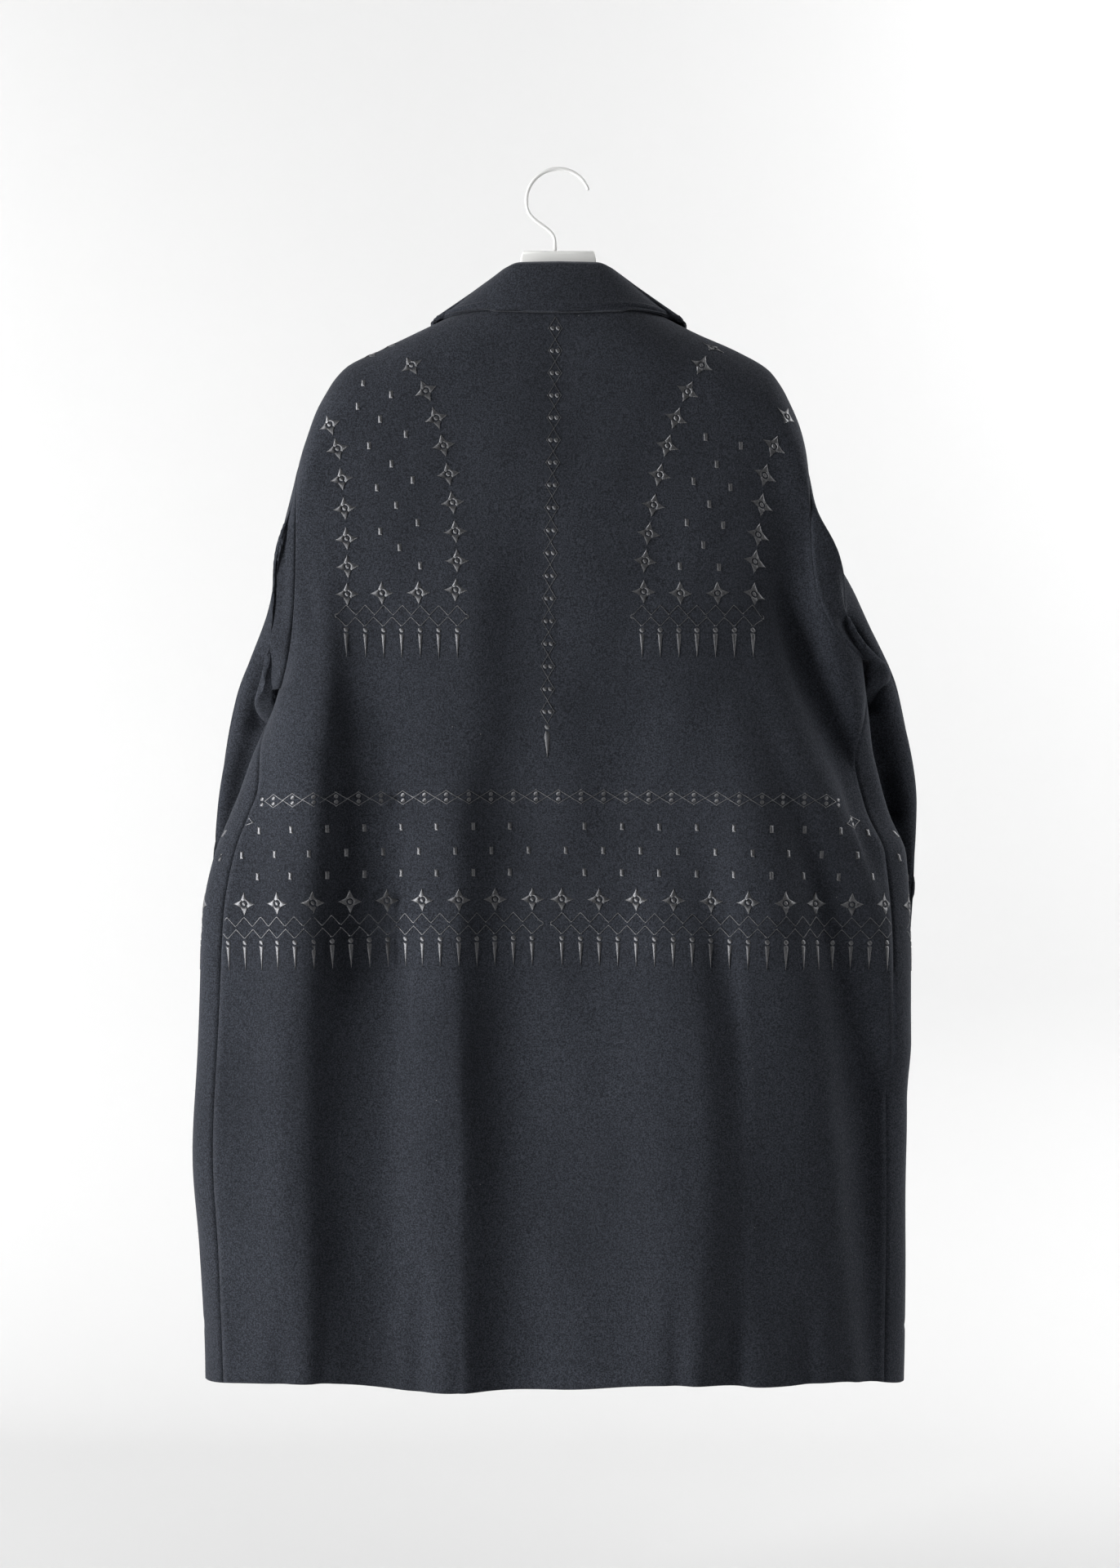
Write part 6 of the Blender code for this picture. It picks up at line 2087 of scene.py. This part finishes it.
class CoatColours(bpy.types.PropertyGroup):
    """Colours of the coat's finishes."""
    wool: FloatVectorProperty(
        name="Wool", description="Colour of the felted wool", subtype="COLOR", size=3, min=0.0, max=1.0,
        default=(0.0205, 0.0232, 0.03),
    )
    thread: FloatVectorProperty(
        name="Thread", description="Colour of the embroidery and sewing thread", subtype="COLOR",
        size=3, min=0.0, max=1.0, default=(0.072, 0.073, 0.078),
    )
    buttons: FloatVectorProperty(
        name="Buttons", description="Colour of the horn buttons", subtype="COLOR", size=3, min=0.0,
        max=1.0, default=(0.012, 0.01, 0.009),
    )
    hanger: FloatVectorProperty(
        name="Hanger", description="Colour of the hanger's plastic", subtype="COLOR", size=3, min=0.0,
        max=1.0, default=(0.82, 0.82, 0.8),
    )
    hook: FloatVectorProperty(
        name="Hook", description="Colour of the hook's lacquer", subtype="COLOR", size=3, min=0.0,
        max=1.0, default=(0.72, 0.72, 0.71),
    )
    floor: FloatVectorProperty(
        name="Floor", description="Colour of the floor and the sweep behind the coat", subtype="COLOR",
        size=3, min=0.0, max=1.0, default=(0.61, 0.61, 0.61),
    )


class CoatStage(bpy.types.PropertyGroup):
    """Powers of the studio lights and the strength of the room light."""
    key_power: FloatProperty(
        name="Window light", description="Power of the large soft light at the picture's left", min=0.0,
        default=216.0, subtype="POWER",
    )
    high_power: FloatProperty(
        name="High light", description="Power of the soft light above the picture's right", min=0.0,
        default=18.0, subtype="POWER",
    )
    fill_power: FloatProperty(
        name="Fill light", description="Power of the soft light at the picture's right", min=0.0,
        default=2.0, subtype="POWER",
    )
    sweep_power: FloatProperty(
        name="Sweep light", description="Power of the light on the sweep behind", min=0.0, default=64.0,
        subtype="POWER",
    )
    sky: FloatProperty(
        name="Room light", description="Strength of the light from all round", min=0.0, default=0.035,
    )


class CoatStitching(bpy.types.PropertyGroup):
    """Sewing and nap."""
    stitch_length: FloatProperty(
        name="Stitch length", description="Length of one sewn stitch", default=0.0032, min=0.001,
        max=0.01, subtype="DISTANCE", unit="LENGTH",
    )
    stitch_gap: FloatProperty(
        name="Stitch gap", description="Gap between two sewn stitches", default=0.001, min=0.0,
        max=0.01, subtype="DISTANCE", unit="LENGTH",
    )
    edge_distance: FloatProperty(
        name="Distance from edge", description="Distance of the topstitching from the collar's edge",
        default=0.0058, min=0.001, max=0.02, subtype="DISTANCE", unit="LENGTH",
    )
    fibre_density: FloatProperty(
        name="Nap fibres", description="Loose fibres on a square metre of wool", default=12000.0, min=0.0,
        max=60000.0,
    )
    fibre_length: FloatProperty(
        name="Fibre length", description="Length of the longest loose fibres", default=0.0022, min=0.0002,
        max=0.01, subtype="DISTANCE", unit="LENGTH",
    )


class COAT_OT_stage(bpy.types.Operator):
    """Set up the floor and sweep, the soft light and the camera"""
    bl_idname = "coat.stage"
    bl_label = "Stage"

    def execute(self, context):
        settings = context.scene.coat_stage
        sweep = mesh_piece("floor_and_sweep", *sweep_shape(), material("floor"))
        for name, place, aim, width, height, power, share in LIGHTS:
            soft_light(name, place, aim, width, height, getattr(settings, power) * share)
        world = bpy.data.worlds.new("room")
        world.use_nodes = True
        background = world.node_tree.nodes["Background"]
        background.inputs["Color"].default_value = (1.0, 1.0, 1.0, 1.0)
        background.inputs["Strength"].default_value = settings.sky
        context.scene.world = world
        context.scene.view_settings.view_transform = "Standard"
        place_camera(context.scene)
        return {"FINISHED"}


CAMERA_ACROSS = -0.0014
CAMERA_DROP = 0.5407
CAMERA_DISTANCE = 2.3
VIEW_HEIGHT = 1.3824
SENSOR_HEIGHT = 36.0
FLOOR_DROP = 1.32
SWEEP_BACK = -1.25
SWEEP_RADIUS = 0.5
SWEEP_STATIONS = 17
SWEEP_FRONT = 3.2
SWEEP_HALF_WIDTH = 3.4
SWEEP_TOP = 2.2


def sweep_shape():
    """A floor that curves up into a wall behind the coat, in one sheet."""
    profile = [(SWEEP_FRONT, -FLOOR_DROP)]
    for angle in np.linspace(0.0, math.pi / 2.0, SWEEP_STATIONS):
        profile.append((
            SWEEP_BACK + SWEEP_RADIUS - SWEEP_RADIUS * math.sin(angle),
            SWEEP_RADIUS - SWEEP_RADIUS * math.cos(angle) - FLOOR_DROP,
        ))
    profile.append((SWEEP_BACK, SWEEP_TOP))
    points = [(across, depth, height) for depth, height in profile
              for across in (-SWEEP_HALF_WIDTH, SWEEP_HALF_WIDTH)]
    return points, grid_quads(len(profile), 2)[..., [0, 3, 2, 1]].reshape(-1, 4)


# The lights: name, place, aim, width, height, the stage's setting and the share of its power
COAT_MIDDLE = Vector((0.0, 0.0, -0.56))
LIGHTS = (
    ("window_light", (3.1, 1.25, -0.18), COAT_MIDDLE, 1.5, 2.2, "key_power", 1.0),
    ("high_light", (-1.1, 0.7, 2.1), COAT_MIDDLE, 1.5, 1.5, "high_power", 1.0),
    ("fill_light", (-2.2, 1.5, -0.3), COAT_MIDDLE, 1.6, 1.8, "fill_power", 1.0),
    ("sweep_light", (-2.0, -0.4, 0.6), Vector((-1.3, -1.3, -0.5)), 1.2, 2.4, "sweep_power", 1.0),
    ("front_light", (1.9, -2.0, 0.5), COAT_MIDDLE, 1.3, 1.5, "key_power", 0.16),
)


def soft_light(name, place, aim, width, height, power):
    data = bpy.data.lights.new(name, "AREA")
    data.shape = "RECTANGLE"
    data.size = width
    data.size_y = height
    data.energy = power
    lamp = link(name, data)
    lamp.location = place
    lamp.rotation_euler = (aim - Vector(place)).to_track_quat("-Z", "Y").to_euler()


def place_camera(scene):
    """The photograph's view: level, straight behind the coat, in an upright frame."""
    data = bpy.data.cameras.new("camera")
    data.sensor_fit = "VERTICAL"
    data.sensor_height = SENSOR_HEIGHT
    data.lens = SENSOR_HEIGHT * CAMERA_DISTANCE / VIEW_HEIGHT
    data.dof.use_dof = False
    camera = link("camera", data)
    camera.location = (CAMERA_ACROSS, CAMERA_DISTANCE, -CAMERA_DROP)
    camera.rotation_euler = (math.pi / 2.0, 0.0, math.pi)
    scene.camera = camera


class COAT_OT_body(bpy.types.Operator):
    """Make the back and the two fronts as sheets of felted wool"""
    bl_idname = "coat.body"
    bl_label = "Back and Fronts"

    def execute(self, context):
        for name in ("back", "front_left", "front_right"):
            dress(name)
        return {"FINISHED"}


class COAT_OT_sleeves(bpy.types.Operator):
    """Make the two sleeves as tubes of felted wool"""
    bl_idname = "coat.sleeves"
    bl_label = "Sleeves"

    def execute(self, context):
        for name in ("sleeve_left", "sleeve_right"):
            dress(name)
        return {"FINISHED"}


class COAT_OT_collar(bpy.types.Operator):
    """Make the collar, folded at its roll"""
    bl_idname = "coat.collar"
    bl_label = "Collar"

    def execute(self, context):
        dress("collar")
        return {"FINISHED"}


class COAT_OT_embroidery(bpy.types.Operator):
    """Stitch the chains, stars, bars, zigzags and drops on the back and the fronts"""
    bl_idname = "coat.embroidery"
    bl_label = "Embroidery"

    def execute(self, context):
        collection, numbers = embroidery_motifs()
        tree = wrap_tree()
        for face, facing in (("back", 1.0), ("front", -1.0)):
            cloth, places, values = ground(face)
            shoulders = seen_layout(LEFT_COLUMNS, LEFT_BARS, LEFT_LOZENGES_FROM, values, places, facing)
            shoulders += seen_layout(RIGHT_COLUMNS, RIGHT_BARS, RIGHT_LOZENGES_FROM, values, places, facing)
            waist = band_layout(facing)
            if facing > 0.0:
                waist += centre_chain_layout()
            for part, layout in (("shoulders", shoulders), ("waist", waist)):
                name = "embroidery_%s_%s" % (face, part)
                piece = embroidery_piece(name, layout, numbers, collection, cloth, tree)
                finish_piece(piece, "black_wool")
            remove(cloth)
        for motif in list(collection.objects):
            remove(motif)
        bpy.data.collections.remove(collection)
        return {"FINISHED"}


class COAT_OT_topstitching(bpy.types.Operator):
    """Sew the topstitching round the collar and down the front edges"""
    bl_idname = "coat.topstitching"
    bl_label = "Topstitching"

    def execute(self, context):
        settings = context.scene.coat_stitching
        stitch = sewn_stitch()
        tree = seam_stitches_tree()
        names = ("stitching_collar", "stitching_front_left", "stitching_front_right")
        for seed, (name, (points, outs)) in enumerate(zip(names, topstitching_lines(settings.edge_distance))):
            line = points_object(
                name, points + outs * STITCH_STANDS_OFF, {"out": ("FLOAT_VECTOR", "vector", outs)},
                edges=[(place, place + 1) for place in range(len(points) - 1)],
            )
            piece = made_by_nodes(line, tree, {
                "Stitch": stitch, "Stitch length": settings.stitch_length, "Gap": settings.stitch_gap,
                "Thickness": SEWING_THREAD, "Thread": material("thread"), "Seed": seed,
            })
            piece.data.shade_smooth()
            finish_piece(piece, "black_wool")
        remove(stitch)
        return {"FINISHED"}


class COAT_OT_nap(bpy.types.Operator):
    """Scatter loose fibres over the wool"""
    bl_idname = "coat.nap"
    bl_label = "Nap"

    def execute(self, context):
        settings = context.scene.coat_stitching
        fibre = loose_fibre()
        tree = nap_tree()
        for seed, name in enumerate(CUTS):
            grid = cloth_grid(name)
            quads = grid_quads(*grid.shape[:2], name.startswith("sleeve")).reshape(-1, 4)
            face = mesh_piece("nap_" + name, grid.reshape(-1, 3), quads[:, ::CUTS[name].flip])
            piece = made_by_nodes(face, tree, {
                "Fibre": fibre, "Density": settings.fibre_density, "Length": settings.fibre_length,
                "Wool": material("fibre"), "Seed": seed,
            })
            finish_piece(piece, "black_wool")
        remove(fibre)
        return {"FINISHED"}


class COAT_OT_buttons(bpy.types.Operator):
    """Turn four horn buttons, sew them on and work their buttonholes"""
    bl_idname = "coat.buttons"
    bl_label = "Buttons"

    def execute(self, context):
        cloth = surface_tree("front_right")
        for number in range(1, 5):
            low, high = (np.array(corner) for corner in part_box("button_%d" % number))
            centre = (low + high) / 2.0
            turned = button_piece("horn_button_%d" % number, centre, float(high[1] - low[1]))
            finish_piece(turned, "dark_button", "button_%d" % number)
            finish_piece(button_thread("button_thread_%d" % number, centre, low[1], high[1]), "black_wool")
            finish_piece(buttonhole("buttonhole_%d" % number, centre, cloth), "black_wool")
        return {"FINISHED"}


class COAT_OT_hanger(bpy.types.Operator):
    """Make the contoured hanger and its wire hook"""
    bl_idname = "coat.hanger"
    bl_label = "Hanger"

    def execute(self, context):
        body = hanger_body_piece("contoured_hanger", material("plastic"))
        finish_piece(body, "white_plastic", "hanger_body")
        finish_piece(hook_piece("wire_hook", material("wire")), "white_lacquered_wire", "hanger_hook")
        return {"FINISHED"}


class COAT_PT_panel(bpy.types.Panel):
    """Shows the coat's settings and the buttons that make its pieces"""
    bl_idname = "COAT_PT_panel"
    bl_label = "Embroidered Coat"
    bl_space_type = "VIEW_3D"
    bl_region_type = "UI"
    bl_category = "Coat"

    def draw(self, context):
        layout = self.layout
        scene = context.scene
        for settings in (scene.coat_colours, scene.coat_stitching, scene.coat_stage):
            box = layout.box()
            for name in settings.__annotations__:
                box.prop(settings, name)
        for operator in OPERATORS:
            layout.operator(operator.bl_idname)


OPERATORS = (
    COAT_OT_body, COAT_OT_sleeves, COAT_OT_collar, COAT_OT_embroidery, COAT_OT_topstitching,
    COAT_OT_buttons, COAT_OT_nap, COAT_OT_hanger, COAT_OT_stage,
)
GROUPS = (CoatColours, CoatStage, CoatStitching)
SETTINGS = (("coat_colours", CoatColours), ("coat_stage", CoatStage), ("coat_stitching", CoatStitching))


def register():
    for group in GROUPS:
        bpy.utils.register_class(group)
    for name, group in SETTINGS:
        setattr(bpy.types.Scene, name, PointerProperty(type=group))
    for operator in OPERATORS:
        bpy.utils.register_class(operator)
    bpy.utils.register_class(COAT_PT_panel)


def unregister():
    bpy.utils.unregister_class(COAT_PT_panel)
    for operator in reversed(OPERATORS):
        bpy.utils.unregister_class(operator)
    for name, _ in reversed(SETTINGS):
        delattr(bpy.types.Scene, name)
    for group in reversed(GROUPS):
        bpy.utils.unregister_class(group)


def main():
    register()
    bpy.ops.coat.body()
    bpy.ops.coat.sleeves()
    bpy.ops.coat.collar()
    bpy.ops.coat.embroidery()
    bpy.ops.coat.topstitching()
    bpy.ops.coat.buttons()
    bpy.ops.coat.nap()
    bpy.ops.coat.hanger()
    bpy.ops.coat.stage()


if __name__ == "__main__":
    main()
